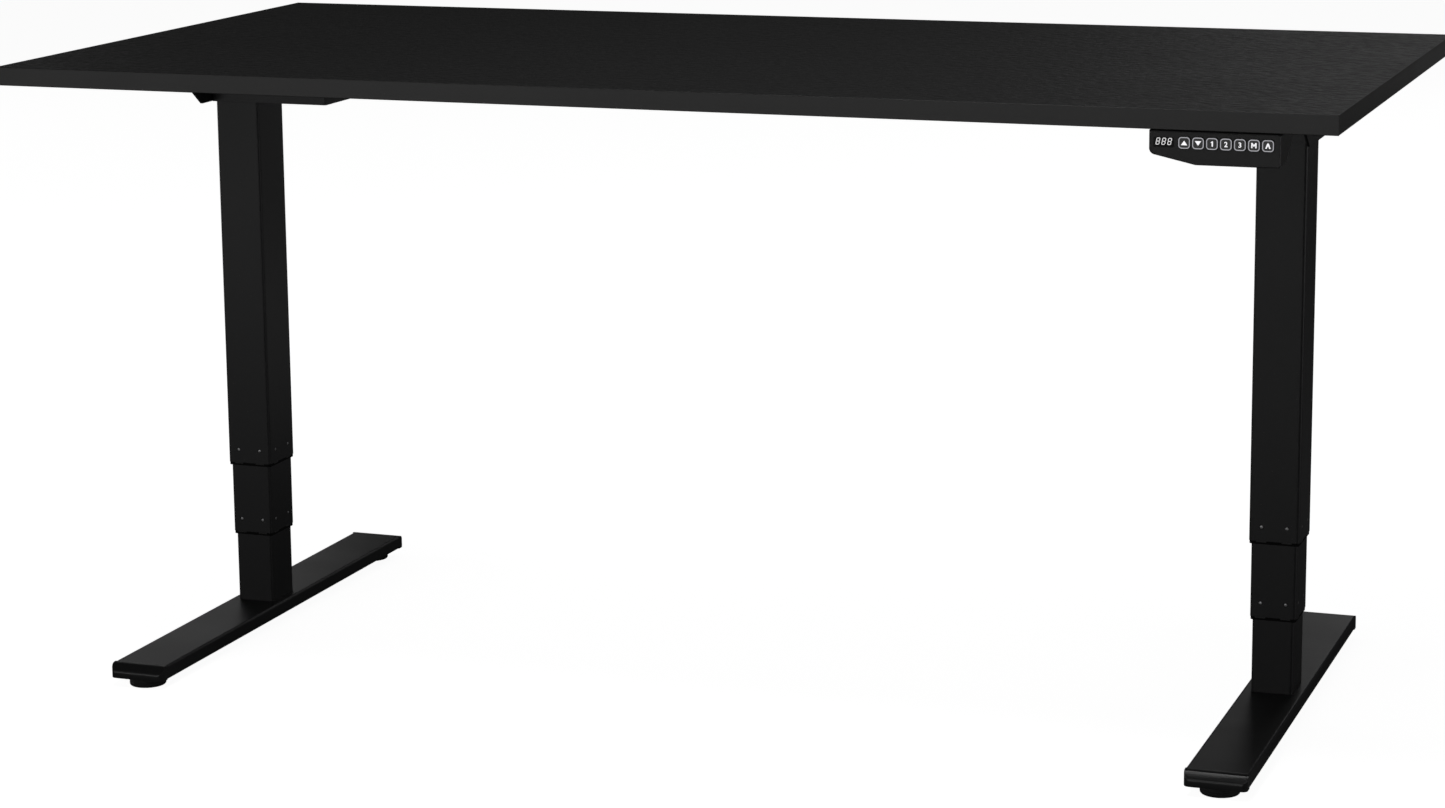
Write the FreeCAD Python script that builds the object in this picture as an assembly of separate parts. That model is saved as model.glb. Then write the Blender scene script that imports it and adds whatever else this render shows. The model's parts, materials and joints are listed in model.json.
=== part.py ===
import FreeCAD, Part
import math
import os

# Height adjustable desk: one board on a steel frame that two three-stage electric columns carry.
# Millimetres. +Z is up, the front edge faces -Y, and +X is the user's right.
# The origin is on the floor, under the middle of the board.

os.makedirs("parts", exist_ok=True)
Vec = FreeCAD.Vector
X_AXIS, Y_AXIS, Z_AXIS = Vec(1, 0, 0), Vec(0, 1, 0), Vec(0, 0, 1)

# Board
BOARD_LENGTH = 1600.0
BOARD_DEPTH = 800.0
BOARD_THICKNESS = 22.0
BOARD_TOP = 772.0
BAND = 1.0                       # thickness of the plastic edge band
BAND_ROUND = 0.8
UNDERSIDE = BOARD_TOP - BOARD_THICKNESS

# Columns: the widest stage hangs from the frame and the slimmest stands on the foot
COLUMN_X = 672.0
WALL = 1.5
CORNER = 4.0
STAGE_STEP = 5.0                 # each stage is this much smaller than the one around it
OUTER_WIDTH, OUTER_DEPTH = 60.0, 70.0
MIDDLE_WIDTH, MIDDLE_DEPTH = OUTER_WIDTH - STAGE_STEP, OUTER_DEPTH - STAGE_STEP
INNER_WIDTH, INNER_DEPTH = MIDDLE_WIDTH - STAGE_STEP, MIDDLE_DEPTH - STAGE_STEP
EXPOSURE = 93.0                  # how much of each lower stage shows at this height
FOOT_TOP = 30.0
INNER_BOTTOM, INNER_TOP = FOOT_TOP, 480.0
MIDDLE_BOTTOM, MIDDLE_TOP = FOOT_TOP + EXPOSURE, 605.0
OUTER_BOTTOM, OUTER_TOP = FOOT_TOP + 2 * EXPOSURE, 700.0
SLIDE_GAP = 0.2                  # between a glide and the wall that it runs on
FIT = 0.1                        # around a fixed piece that sits in a hole

# Glides at the lower end of the two wider stages: a strip, a pin through the wall and a lip below it
GLIDE_WIDTH, GLIDE_HEIGHT = 12.0, 42.0
GLIDE_THICKNESS = STAGE_STEP / 2 - WALL - SLIDE_GAP
GLIDE_LIP = 1.5
PIN_RADIUS, PIN_ABOVE_EDGE = 2.3, 17.0
PIN_RECESS = 0.4
GLIDE_X, GLIDE_Y = 15.0, 17.5    # how far the pins are from the middle of a face

# Drive: a hollow upper screw turns in the upper nut, and a hex rod carries its turning to the lower screw
UPPER_SCREW_RADIUS, UPPER_SCREW_BOTTOM = 8.0, 325.0
HEX_ROD, HEX_GAP = 8.0, 0.4      # across flats
LOWER_SCREW_RADIUS, LOWER_SCREW_BORE = 12.5, 8.6
LOWER_SCREW_BOTTOM, LOWER_SCREW_TOP = 206.0, 581.0
SCREW_GAP = 0.2
NUT_DEPTH, NUT_FLANGE = 32.0, 4.0
LOWER_NUT_DEPTH = 24.0
THRUST_RADIUS, THRUST_HEIGHT = 15.0, 6.0
THRUST_GAP = 0.3
WHEEL_RADIUS, WHEEL_HEIGHT, WHEEL_TEETH = 12.0, 12.0, 24
WHEEL_TOOTH_HEIGHT = 1.2
HUB_RADIUS, COLLAR_RADIUS = 6.0, 10.5
WORM_RADIUS, SHAFT_RADIUS = 4.0, 2.5
WORM_HALF, SHAFT_HALF = 12.0, 16.0    # how far the worm and its shaft reach past the wheel's middle
WORM_GAP = 0.6                   # between the worm and the case
SHAFT_HOLE_DEPTH = 11.0          # how far the motor's shaft hole goes past its flange
DRIVE_Z = 722.0                  # height of the worm and motor axis
WORM_Y = WHEEL_RADIUS + WORM_RADIUS + 0.3
HUB_TOP = DRIVE_Z + WHEEL_HEIGHT / 2 + 5

# Head: the steel box around the gearbox and the motor, at the top of each column
HEAD_OUTBOARD, HEAD_INBOARD = 34.0, 127.5
HEAD_HALF_DEPTH = 38.0
HEAD_BOTTOM = 690.0
MOTOR_RADIUS, MOTOR_END = 19.5, 118.0
MOTOR_FLANGE = 6.0
MOTOR_FLANGE_FRONT, MOTOR_FLANGE_REAR = -22.0, 33.0
GEARBOX_TOP = 745.0
LEAD_OUTLET = 7.0                # radius of the hole that the motor's lead leaves by

# Frame
RAIL_DEPTH, RAIL_HEIGHT = 20.0, 38.0
RAIL_WALL = 1.5
ARM_THICKNESS = 3.0
ARM_HALF_LENGTH, ARM_FLANGE = 290.0, 40.0
ARM_WEB = [(63.0, 690.0), (112.0, 727.0), (290.0, 738.0)]   # half outline of the web's lower edge
BOLT_RADIUS, BOLT_HEAD, BOLT_HEAD_HEIGHT = 3.0, 5.5, 3.3
RAIL_BOLT_X = (-18.0, 100.0)     # from the column's middle, inwards
RAIL_BOLT_DROPS = (11.0, 27.0)   # below the board
ARM_BOLT_Y, ARM_BOLT_EDGE = 22.0, 14.0
SCREW_RADIUS, SCREW_HEAD, SCREW_HEAD_HEIGHT = 2.3, 5.0, 2.6
SCREW_LENGTH = 16.0

# Feet
FOOT_LENGTH, FOOT_WIDTH, FOOT_HEIGHT = 700.0, 72.0, 18.0
FOOT_WALL, FOOT_CORNER = 2.0, 3.0
FOOT_BOTTOM = FOOT_TOP - FOOT_HEIGHT
CAP_LENGTH, CAP_PLUG = 14.0, 22.0
CAP_NOSE = 8.0                   # height of the upright face at the cap's tip
CAP_CORNER = 7.0
CAP_ROUND = 0.9
PAD_RADIUS, PAD_HEIGHT = 22.5, 11.8
PAD_Y = 321.0
STUD_RADIUS, STUD_TOP = 3.9, 27.0
STUD_FLANGE, STUD_FLANGE_HEIGHT = 7.2, 3.6
PAD_FLOOR, STUD_GAP = 3.0, 0.3
WELD_NUT_RADIUS, WELD_NUT_TOP = 7.5, 22.0
BASE_PLATE = 8.0
FOOT_BOLT_RADIUS, FOOT_BOLT_HEAD, FOOT_BOLT_HEAD_HEIGHT = 4.0, 6.5, 4.4
FOOT_BOLT_X, FOOT_BOLT_Y = 14.0, 19.0

# Handset
HANDSET_LEFT, HANDSET_RIGHT = 599.0, 739.5
HANDSET_FRONT, HANDSET_REAR = -398.0, -334.0
HANDSET_TOP = UNDERSIDE - 1.0    # only the screw tab touches the board
HANDSET_SHALLOW, HANDSET_DEEP = 26.0, 37.0    # how far below the board the two levels of the lower edge are
HANDSET_KNEE = 50.0              # how far from the left end the deep part begins
HANDSET_BACK = 14.0              # height that is left at the rear, behind the sloped underside
HANDSET_WALL = 2.0
HANDSET_LEFT_ROUND, HANDSET_RIGHT_ROUND = 7.0, 3.0
PANEL_THICKNESS, PANEL_INSET = 1.2, 1.6
KEY_SIZE, KEY_CORNER, KEY_GAP = 13.4, 3.6, 0.3
KEY_PITCH, KEY_FIRST_X, KEY_Z = 14.85, 637.0, 736.5
KEY_PROUD, KEY_DEPTH, KEY_FLANGE, KEY_LIP = 0.9, 5.3, 1.2, 0.6
KEY_TRAVEL_ROOM = 1.2            # between a key at rest and its switch
KEY_NAMES = ["key_up", "key_down", "key_1", "key_2", "key_3", "key_memory", "key_alarm"]
DISPLAY_X, DISPLAY_WIDTH, DISPLAY_HEIGHT = 615.0, 22.0, 10.5
DISPLAY_THICKNESS = 2.6
TAB_DEPTH, TAB_THICKNESS = 18.0, 3.0
TAB_SCREW_X = 30.0               # how far the tab's screws are from the handset's middle
CIRCUIT_THICKNESS = 1.6
SWITCH_HALF, SWITCH_HEIGHT = 3.0, 2.4
GLAND_RADIUS, GLAND_LENGTH, GLAND_BORE = 4.0, 8.0, 1.8

# Control box
BOX_X0, BOX_X1 = 210.0, 450.0
BOX_Y0, BOX_Y1 = 80.0, 180.0
BOX_HEIGHT, BOX_WALL = 42.0, 2.0
LID_THICKNESS, LID_EAR = 3.0, 14.0
INLET_WIDTH, INLET_HEIGHT, INLET_DEPTH = 17.0, 9.0, 13.0
INLET_PIN_LENGTH, INLET_PIN_RADIUS = 6.5, 1.2
SOCKET_PITCH, WAY_PITCH, WAY_HALF, WAY_DEPTH = 30.0, 4.2, 1.4, 8.0


def box(x0, x1, y0, y1, z0, z1):
    return Part.makeBox(x1 - x0, y1 - y0, z1 - z0, Vec(x0, y0, z0))


def cylinder(radius, x, y, z0, z1):
    return Part.makeCylinder(radius, z1 - z0, Vec(x, y, z0), Z_AXIS)


def rod_x(radius, x0, x1, y, z):
    return Part.makeCylinder(radius, x1 - x0, Vec(x0, y, z), X_AXIS)


def rod_y(radius, x, y0, y1, z):
    return Part.makeCylinder(radius, y1 - y0, Vec(x, y0, z), Y_AXIS)


def parallel_edges(shape, axis):
    """The straight edges of a shape that run along an axis."""
    found = []
    for edge in shape.Edges:
        if isinstance(edge.Curve, Part.Line) and abs(edge.Curve.Direction.dot(axis)) > 0.999:
            found.append(edge)
    return found


def rounded_box(x0, x1, y0, y1, z0, z1, radius, axis=Z_AXIS):
    """A box whose four edges along one axis are rounded."""
    solid = box(x0, x1, y0, y1, z0, z1)
    return solid.makeFillet(radius, parallel_edges(solid, axis))


def plate(points, axis, start, thickness):
    """A flat outline, given in the plane across an axis, pulled out along that axis."""
    if axis == "x":
        corners = [Vec(start, a, b) for a, b in points]
        pull = Vec(thickness, 0, 0)
    else:
        corners = [Vec(a, start, b) for a, b in points]
        pull = Vec(0, thickness, 0)
    outline = Part.makePolygon(corners + corners[:1])
    return Part.Face(outline).extrude(pull)


def stage(width, depth, bottom, top):
    """One rectangular steel tube of a column, on the left column's axis."""
    x0, x1 = -COLUMN_X - width / 2, -COLUMN_X + width / 2
    outside = rounded_box(x0, x1, -depth / 2, depth / 2, bottom, top, CORNER)
    inside = rounded_box(x0 + WALL, x1 - WALL, -depth / 2 + WALL, depth / 2 - WALL,
                         bottom - 1, top + 1, CORNER - WALL)
    return outside.cut(inside)


def glide_places(width, depth):
    """Where the glides of one stage sit: a point on the tube's outside and the way out of the wall."""
    places = []
    for side in (-1, 1):
        for along in (-GLIDE_X, GLIDE_X):
            places.append((Vec(-COLUMN_X + along, side * depth / 2, 0), Vec(0, side, 0)))
        for along in (-GLIDE_Y, GLIDE_Y):
            places.append((Vec(-COLUMN_X + side * width / 2, along, 0), Vec(side, 0, 0)))
    return places


def pin_hole(place, outward, bottom):
    start = place - outward * (WALL + 1)
    return Part.makeCylinder(PIN_RADIUS + FIT, WALL + 2, start + Z_AXIS * (bottom + PIN_ABOVE_EDGE), outward)


def glide(place, outward, bottom):
    """A plastic strip inside the wall, with its pin in the wall's hole and its lip under the tube."""
    inner_face = place - outward * (WALL + GLIDE_THICKNESS)
    strip = Part.makeBox(GLIDE_WIDTH, GLIDE_THICKNESS, GLIDE_HEIGHT)
    lip = Part.makeBox(GLIDE_WIDTH, GLIDE_THICKNESS + WALL, GLIDE_LIP)
    pin = Part.makeCylinder(PIN_RADIUS, GLIDE_THICKNESS + WALL - PIN_RECESS,
                            Vec(GLIDE_WIDTH / 2, 0, PIN_ABOVE_EDGE), Y_AXIS)
    lip.translate(Vec(0, 0, -GLIDE_LIP))
    solid = strip.fuse([lip, pin]).removeSplitter()
    turn = FreeCAD.Rotation(Y_AXIS, outward)
    solid.Placement = FreeCAD.Placement(Vec(0, 0, 0), turn)
    middle = turn.multVec(Vec(GLIDE_WIDTH / 2, 0, 0))
    solid.translate(inner_face + Z_AXIS * bottom - middle)
    return solid


def stage_with_glides(width, depth, bottom, top):
    tube = stage(width, depth, bottom, top)
    glides = []
    for place, outward in glide_places(width, depth):
        tube = tube.cut(pin_hole(place, outward, bottom))
        glides.append(glide(place, outward, bottom))
    return tube, Part.makeCompound(glides)


def hexagon(across_flats, z0, z1):
    radius = across_flats / math.sqrt(3)
    corners = []
    for i in range(6):
        angle = math.radians(60 * i)
        corners.append(Vec(-COLUMN_X + radius * math.cos(angle), radius * math.sin(angle), z0))
    return Part.Face(Part.makePolygon(corners + corners[:1])).extrude(Vec(0, 0, z1 - z0))


def nut(width, depth, top, block_depth, bore, thrust=False):
    """A plastic nut that fills the top of a stage; its flange rides in the stage around it."""
    x0, x1 = -COLUMN_X - width / 2, -COLUMN_X + width / 2
    inset = WALL + FIT
    block = rounded_box(x0 + inset, x1 - inset, -depth / 2 + inset, depth / 2 - inset,
                        top - block_depth, top, CORNER - WALL)
    spread = STAGE_STEP / 2 - WALL - SLIDE_GAP
    flange = rounded_box(x0 - spread, x1 + spread, -depth / 2 - spread, depth / 2 + spread,
                         top, top + NUT_FLANGE, CORNER - WALL)
    solid = block.fuse(flange).removeSplitter()
    solid = solid.cut(cylinder(bore + SCREW_GAP, -COLUMN_X, 0, top - block_depth - 1, top + NUT_FLANGE + 1))
    if thrust:
        seat = cylinder(THRUST_RADIUS + THRUST_GAP, -COLUMN_X, 0,
                        LOWER_SCREW_TOP - THRUST_HEIGHT - THRUST_GAP, LOWER_SCREW_TOP + THRUST_GAP)
        neck = cylinder(LOWER_SCREW_RADIUS + SCREW_GAP, -COLUMN_X, 0, top - block_depth - 1, LOWER_SCREW_TOP)
        solid = solid.cut([seat, neck])
    return solid


def worm_wheel():
    """A toothed wheel on the upper screw's hub, with square teeth as in a small moulded gear."""
    z0 = DRIVE_Z - WHEEL_HEIGHT / 2
    body = cylinder(WHEEL_RADIUS - WHEEL_TOOTH_HEIGHT, -COLUMN_X, 0, z0, z0 + WHEEL_HEIGHT)
    half_tooth = math.pi * WHEEL_RADIUS / WHEEL_TEETH / 2 * 0.9
    teeth = []
    for i in range(WHEEL_TEETH):
        tooth = box(-COLUMN_X, -COLUMN_X + WHEEL_RADIUS, -half_tooth, half_tooth, z0, z0 + WHEEL_HEIGHT)
        tooth.rotate(Vec(-COLUMN_X, 0, 0), Z_AXIS, 360.0 * i / WHEEL_TEETH)
        teeth.append(tooth)
    wheel = body.fuse(teeth).removeSplitter()
    return wheel.cut(cylinder(HUB_RADIUS, -COLUMN_X, 0, z0 - 1, z0 + WHEEL_HEIGHT + 1))


def upper_screw():
    """Hollow screw hung from the gearbox, with a hex bore for the rod, and the wheel on its hub."""
    wheel_bottom = DRIVE_Z - WHEEL_HEIGHT / 2
    thread = cylinder(UPPER_SCREW_RADIUS, -COLUMN_X, 0, UPPER_SCREW_BOTTOM, wheel_bottom)
    hub = cylinder(HUB_RADIUS - FIT, -COLUMN_X, 0, wheel_bottom, HUB_TOP)
    collar = cylinder(COLLAR_RADIUS, -COLUMN_X, 0, wheel_bottom - THRUST_HEIGHT, wheel_bottom)
    bore = hexagon(HEX_ROD + HEX_GAP, UPPER_SCREW_BOTTOM - 1, OUTER_TOP)
    screw = thread.fuse([hub, collar]).removeSplitter().cut(bore)
    return Part.makeCompound([screw, worm_wheel()])


def lower_screw():
    """Hollow screw that turns under the upper nut; a hex rod stands up inside it from a plug."""
    tube = cylinder(LOWER_SCREW_RADIUS, -COLUMN_X, 0, LOWER_SCREW_BOTTOM, LOWER_SCREW_TOP)
    collar = cylinder(THRUST_RADIUS, -COLUMN_X, 0, LOWER_SCREW_TOP - THRUST_HEIGHT, LOWER_SCREW_TOP)
    plug_top = LOWER_SCREW_BOTTOM + 12
    bore = cylinder(LOWER_SCREW_BORE, -COLUMN_X, 0, plug_top, LOWER_SCREW_TOP + 1)
    screw = tube.fuse(collar).removeSplitter().cut(bore)
    rod_bottom = plug_top - 8
    screw = screw.cut(hexagon(HEX_ROD, rod_bottom, plug_top + 1))
    rod = hexagon(HEX_ROD, rod_bottom, LOWER_SCREW_TOP + 7)
    return Part.makeCompound([screw, rod])


def worm():
    """The motor's shaft, with the worm in front of it beside the wheel."""
    thread = rod_x(WORM_RADIUS, -COLUMN_X - WORM_HALF, -COLUMN_X + WORM_HALF, WORM_Y, DRIVE_Z)
    motor_face = -COLUMN_X + OUTER_WIDTH / 2
    shaft = rod_x(SHAFT_RADIUS, -COLUMN_X - SHAFT_HALF, motor_face + MOTOR_FLANGE + 10, WORM_Y, DRIVE_Z)
    return thread.fuse(shaft).removeSplitter()


def gearbox():
    """Case round the wheel and the worm, which stands on the top of the outer tube."""
    x0, x1 = -COLUMN_X - OUTER_WIDTH / 2, -COLUMN_X + OUTER_WIDTH / 2
    case = rounded_box(x0, x1, -OUTER_DEPTH / 2, OUTER_DEPTH / 2, OUTER_TOP, GEARBOX_TOP, CORNER)
    wheel_bottom = DRIVE_Z - WHEEL_HEIGHT / 2
    wheel_room = cylinder(WHEEL_RADIUS + 1, -COLUMN_X, 0, wheel_bottom - THRUST_HEIGHT - THRUST_GAP,
                          wheel_bottom + WHEEL_HEIGHT + 1)
    screw_room = cylinder(UPPER_SCREW_RADIUS + SCREW_GAP, -COLUMN_X, 0, OUTER_TOP - 1, DRIVE_Z)
    hub_room = cylinder(HUB_RADIUS + SCREW_GAP, -COLUMN_X, 0, DRIVE_Z, HUB_TOP + 1)
    worm_room = rod_x(WORM_RADIUS + WORM_GAP, -COLUMN_X - WORM_HALF - 1, -COLUMN_X + WORM_HALF + 1, WORM_Y,
                      DRIVE_Z)
    shaft_room = rod_x(SHAFT_RADIUS + SCREW_GAP, -COLUMN_X - SHAFT_HALF - 1, x1 + 1, WORM_Y, DRIVE_Z)
    return case.cut([wheel_room, screw_room, hub_room, worm_room, shaft_room])


def motor():
    """Round motor can lying in the head, with a flange, a rear bearing boss and a socket for its lead."""
    flange_start = -COLUMN_X + OUTER_WIDTH / 2
    x0, x1 = flange_start + MOTOR_FLANGE / 2, -COLUMN_X + MOTOR_END
    can = rod_x(MOTOR_RADIUS, x0, x1, WORM_Y, DRIVE_Z)
    can = can.makeFillet(2.0, [e for e in can.Edges if isinstance(e.Curve, Part.Circle)])
    flange = rounded_box(flange_start, flange_start + MOTOR_FLANGE, MOTOR_FLANGE_FRONT, MOTOR_FLANGE_REAR,
                         OUTER_TOP + 4, GEARBOX_TOP - 3, 3, X_AXIS)
    boss = rod_x(7, x1 - 1, x1 + 4, WORM_Y, DRIVE_Z)
    socket = box(x1 - 24, x1 - 6, -20, 0, DRIVE_Z - 8, DRIVE_Z + 6)
    hole_end = flange_start + MOTOR_FLANGE + SHAFT_HOLE_DEPTH
    shaft_hole = rod_x(SHAFT_RADIUS + SCREW_GAP, flange_start - 1, hole_end, WORM_Y, DRIVE_Z)
    return can.fuse([flange, boss, socket]).removeSplitter().cut(shaft_hole)


def head_bolt_places():
    """Bolts through the head's sides into the rails, and through its outer end into the arm."""
    sides = [(-COLUMN_X + along, UNDERSIDE - drop) for along in RAIL_BOLT_X for drop in RAIL_BOLT_DROPS]
    heights = (HEAD_BOTTOM + ARM_BOLT_EDGE, UNDERSIDE - ARM_BOLT_EDGE)
    ends = [(y, z) for y in (-ARM_BOLT_Y, ARM_BOLT_Y) for z in heights]
    return sides, ends


def head():
    """Folded steel box, open to the board, with a sleeve opening for the outer tube in its floor."""
    x0, x1 = -COLUMN_X - HEAD_OUTBOARD, -COLUMN_X + HEAD_INBOARD
    outside = rounded_box(x0, x1, -HEAD_HALF_DEPTH, HEAD_HALF_DEPTH, HEAD_BOTTOM, UNDERSIDE, 3)
    inside = box(x0 + WALL, x1 - WALL, -HEAD_HALF_DEPTH + WALL, HEAD_HALF_DEPTH - WALL,
                 HEAD_BOTTOM + WALL, UNDERSIDE + 1)
    opening = rounded_box(-COLUMN_X - OUTER_WIDTH / 2 - FIT, -COLUMN_X + OUTER_WIDTH / 2 + FIT,
                          -OUTER_DEPTH / 2 - FIT, OUTER_DEPTH / 2 + FIT,
                          HEAD_BOTTOM - 1, HEAD_BOTTOM + WALL + 1, CORNER + FIT)
    shell = outside.cut([inside, opening])
    sides, ends = head_bolt_places()
    holes = []
    for x, z in sides:
        holes.append(rod_y(BOLT_RADIUS + FIT, x, -HEAD_HALF_DEPTH - 1, HEAD_HALF_DEPTH + 1, z))
    for y, z in ends:
        holes.append(rod_x(BOLT_RADIUS + FIT, x0 - 1, x0 + WALL + 1, y, z))
    holes.append(rod_x(LEAD_OUTLET, x1 - WALL - 1, x1 + 1, -18, DRIVE_Z))
    return shell.cut(holes)


def arm_web_outline():
    """The web's outline: deep beside the head, shallow towards both tips."""
    lower = ARM_WEB
    right = [(y, z) for y, z in lower]
    left = [(-y, z) for y, z in reversed(lower)]
    return [(-ARM_HALF_LENGTH, UNDERSIDE)] + left + right + [(ARM_HALF_LENGTH, UNDERSIDE)]


def board_screw_places():
    """Wood screws through the arm's flange into the board."""
    x = -COLUMN_X - HEAD_OUTBOARD - ARM_THICKNESS - ARM_FLANGE / 2
    return [(x, y) for y in (-270.0, -162.0, -54.0, 54.0, 162.0, 270.0)]


def arm():
    """Angle of sheet steel under the board, bolted to the outer end of the head."""
    x1 = -COLUMN_X - HEAD_OUTBOARD
    x0 = x1 - ARM_THICKNESS
    web = plate(arm_web_outline(), "x", x0, ARM_THICKNESS)
    flange = rounded_box(x0 - ARM_FLANGE, x0 + 0.5, -ARM_HALF_LENGTH, ARM_HALF_LENGTH,
                         UNDERSIDE - ARM_THICKNESS, UNDERSIDE, 0.4, Y_AXIS)
    solid = web.fuse(flange).removeSplitter()
    holes = [cylinder(SCREW_RADIUS + 0.5, x, y, UNDERSIDE - ARM_THICKNESS - 1, UNDERSIDE + 1)
             for x, y in board_screw_places()]
    for y, z in head_bolt_places()[1]:
        holes.append(rod_x(BOLT_RADIUS + FIT, x0 - 1, x1 + 1, y, z))
    return solid.cut(holes)


def rail(side):
    """Rectangular steel tube that joins the two heads, in front of them or behind them."""
    near, far = HEAD_HALF_DEPTH, HEAD_HALF_DEPTH + RAIL_DEPTH
    y0, y1 = (near, far) if side > 0 else (-far, -near)
    reach = COLUMN_X + HEAD_OUTBOARD
    z0 = UNDERSIDE - RAIL_HEIGHT
    outside = rounded_box(-reach, reach, y0, y1, z0, UNDERSIDE, 2.5, X_AXIS)
    inside = rounded_box(-reach - 1, reach + 1, y0 + RAIL_WALL, y1 - RAIL_WALL,
                         z0 + RAIL_WALL, UNDERSIDE - RAIL_WALL, 1.0, X_AXIS)
    solid = outside.cut(inside)
    holes = []
    for x, z in head_bolt_places()[0]:
        for end in (-1, 1):
            holes.append(rod_y(BOLT_RADIUS + FIT, end * x, y0 - 1, y1 + 1, z))
    return solid.cut(holes)


def frame_bolts():
    """Button-head bolts: rails to heads, and arms to heads."""
    sides, ends = head_bolt_places()
    bolts = []
    for x, z in sides:
        for sign in (-1, 1):
            outer_face = sign * (HEAD_HALF_DEPTH + RAIL_DEPTH)
            inner_face = sign * (HEAD_HALF_DEPTH - WALL)
            head_end = outer_face + sign * BOLT_HEAD_HEIGHT
            cap = rod_y(BOLT_HEAD, x, min(outer_face, head_end), max(outer_face, head_end), z)
            shank = rod_y(BOLT_RADIUS, x, min(outer_face, inner_face), max(outer_face, inner_face), z)
            bolts.append(cap.fuse(shank).removeSplitter())
    x_face = -COLUMN_X - HEAD_OUTBOARD - ARM_THICKNESS
    for y, z in ends:
        cap = rod_x(BOLT_HEAD, x_face - BOLT_HEAD_HEIGHT, x_face, y, z)
        shank = rod_x(BOLT_RADIUS, x_face, x_face + ARM_THICKNESS + WALL + 1, y, z)
        bolts.append(cap.fuse(shank).removeSplitter())
    return Part.makeCompound(bolts + [mirrored(b) for b in bolts])


def all_screw_places():
    """Every screw that goes up into the board: in both arms, the handset's tab and the box's lid."""
    arms = board_screw_places()
    places = arms + [(-x, y) for x, y in arms]
    middle = (HANDSET_LEFT + HANDSET_RIGHT) / 2
    for side in (-1, 1):
        places.append((middle + side * TAB_SCREW_X, HANDSET_REAR + TAB_DEPTH / 2))
    for x in (BOX_X0 - LID_EAR / 2, BOX_X1 + LID_EAR / 2):
        for y in (BOX_Y0 + LID_EAR, BOX_Y1 - LID_EAR):
            places.append((x, y))
    return places


def board_screws():
    screws = []
    face = UNDERSIDE - ARM_THICKNESS
    for x, y in all_screw_places():
        cap = cylinder(SCREW_HEAD, x, y, face - SCREW_HEAD_HEIGHT, face)
        shank = cylinder(SCREW_RADIUS, x, y, face, face + SCREW_LENGTH)
        screws.append(cap.fuse(shank).removeSplitter())
    return Part.makeCompound(screws)


def board():
    half_x, half_y = BOARD_LENGTH / 2 - BAND, BOARD_DEPTH / 2 - BAND
    core = box(-half_x, half_x, -half_y, half_y, UNDERSIDE, BOARD_TOP)
    pilots = []
    depth = UNDERSIDE - ARM_THICKNESS + SCREW_LENGTH + 1
    for x, y in all_screw_places():
        pilots.append(cylinder(SCREW_RADIUS + FIT, x, y, UNDERSIDE - 1, depth))
    return core.cut(pilots)


def edge_band():
    """Four strips glued round the board: the long ones cover the ends of the short ones."""
    half_x, half_y = BOARD_LENGTH / 2, BOARD_DEPTH / 2
    strips = []
    for sign in (-1, 1):
        y0, y1 = sorted((sign * half_y, sign * (half_y - BAND)))
        strip = box(-half_x, half_x, y0, y1, UNDERSIDE, BOARD_TOP)
        outer = [e for e in parallel_edges(strip, X_AXIS) if abs(e.CenterOfMass.y - sign * half_y) < 0.01]
        strips.append(strip.makeFillet(BAND_ROUND, outer))
        x0, x1 = sorted((sign * half_x, sign * (half_x - BAND)))
        strip = box(x0, x1, -half_y + BAND, half_y - BAND, UNDERSIDE, BOARD_TOP)
        outer = [e for e in parallel_edges(strip, Y_AXIS) if abs(e.CenterOfMass.x - sign * half_x) < 0.01]
        strips.append(strip.makeFillet(BAND_ROUND, outer))
    return Part.makeCompound(strips)


def foot_beam():
    x0, x1 = -COLUMN_X - FOOT_WIDTH / 2, -COLUMN_X + FOOT_WIDTH / 2
    reach = FOOT_LENGTH / 2 - CAP_LENGTH
    outside = rounded_box(x0, x1, -reach, reach, FOOT_BOTTOM, FOOT_TOP, FOOT_CORNER, Y_AXIS)
    inside = rounded_box(x0 + FOOT_WALL, x1 - FOOT_WALL, -reach - 1, reach + 1,
                         FOOT_BOTTOM + FOOT_WALL, FOOT_TOP - FOOT_WALL, FOOT_CORNER - FOOT_WALL, Y_AXIS)
    solid = outside.cut(inside)
    holes = []
    for x, y in foot_bolt_places():
        holes.append(cylinder(FOOT_BOLT_RADIUS + FIT, x, y, FOOT_TOP - FOOT_WALL - 1, FOOT_TOP + 1))
        holes.append(cylinder(FOOT_BOLT_HEAD + 1.5, x, y, FOOT_BOTTOM - 1, FOOT_BOTTOM + FOOT_WALL + 1))
    for y in (-PAD_Y, PAD_Y):
        holes.append(cylinder(STUD_RADIUS + 0.6, -COLUMN_X, y, FOOT_BOTTOM - 1, FOOT_BOTTOM + FOOT_WALL + 1))
    return solid.cut(holes)


def foot_bolt_places():
    return [(-COLUMN_X + sx * FOOT_BOLT_X, sy * FOOT_BOLT_Y) for sx in (-1, 1) for sy in (-1, 1)]


def foot_fasteners():
    """Bolts that hold the column on the foot, and the weld nuts that the levelling studs turn in."""
    pieces = []
    under = FOOT_TOP - FOOT_WALL
    for x, y in foot_bolt_places():
        cap = cylinder(FOOT_BOLT_HEAD, x, y, under - FOOT_BOLT_HEAD_HEIGHT, under)
        shank = cylinder(FOOT_BOLT_RADIUS, x, y, under, FOOT_TOP + BASE_PLATE - 1)
        pieces.append(cap.fuse(shank).removeSplitter())
    for y in (-PAD_Y, PAD_Y):
        outside = cylinder(WELD_NUT_RADIUS, -COLUMN_X, y, FOOT_BOTTOM + FOOT_WALL, WELD_NUT_TOP)
        pieces.append(outside.cut(cylinder(STUD_RADIUS + SCREW_GAP, -COLUMN_X, y, FOOT_BOTTOM, FOOT_TOP)))
    return Part.makeCompound(pieces + [mirrored(p) for p in pieces])


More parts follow.
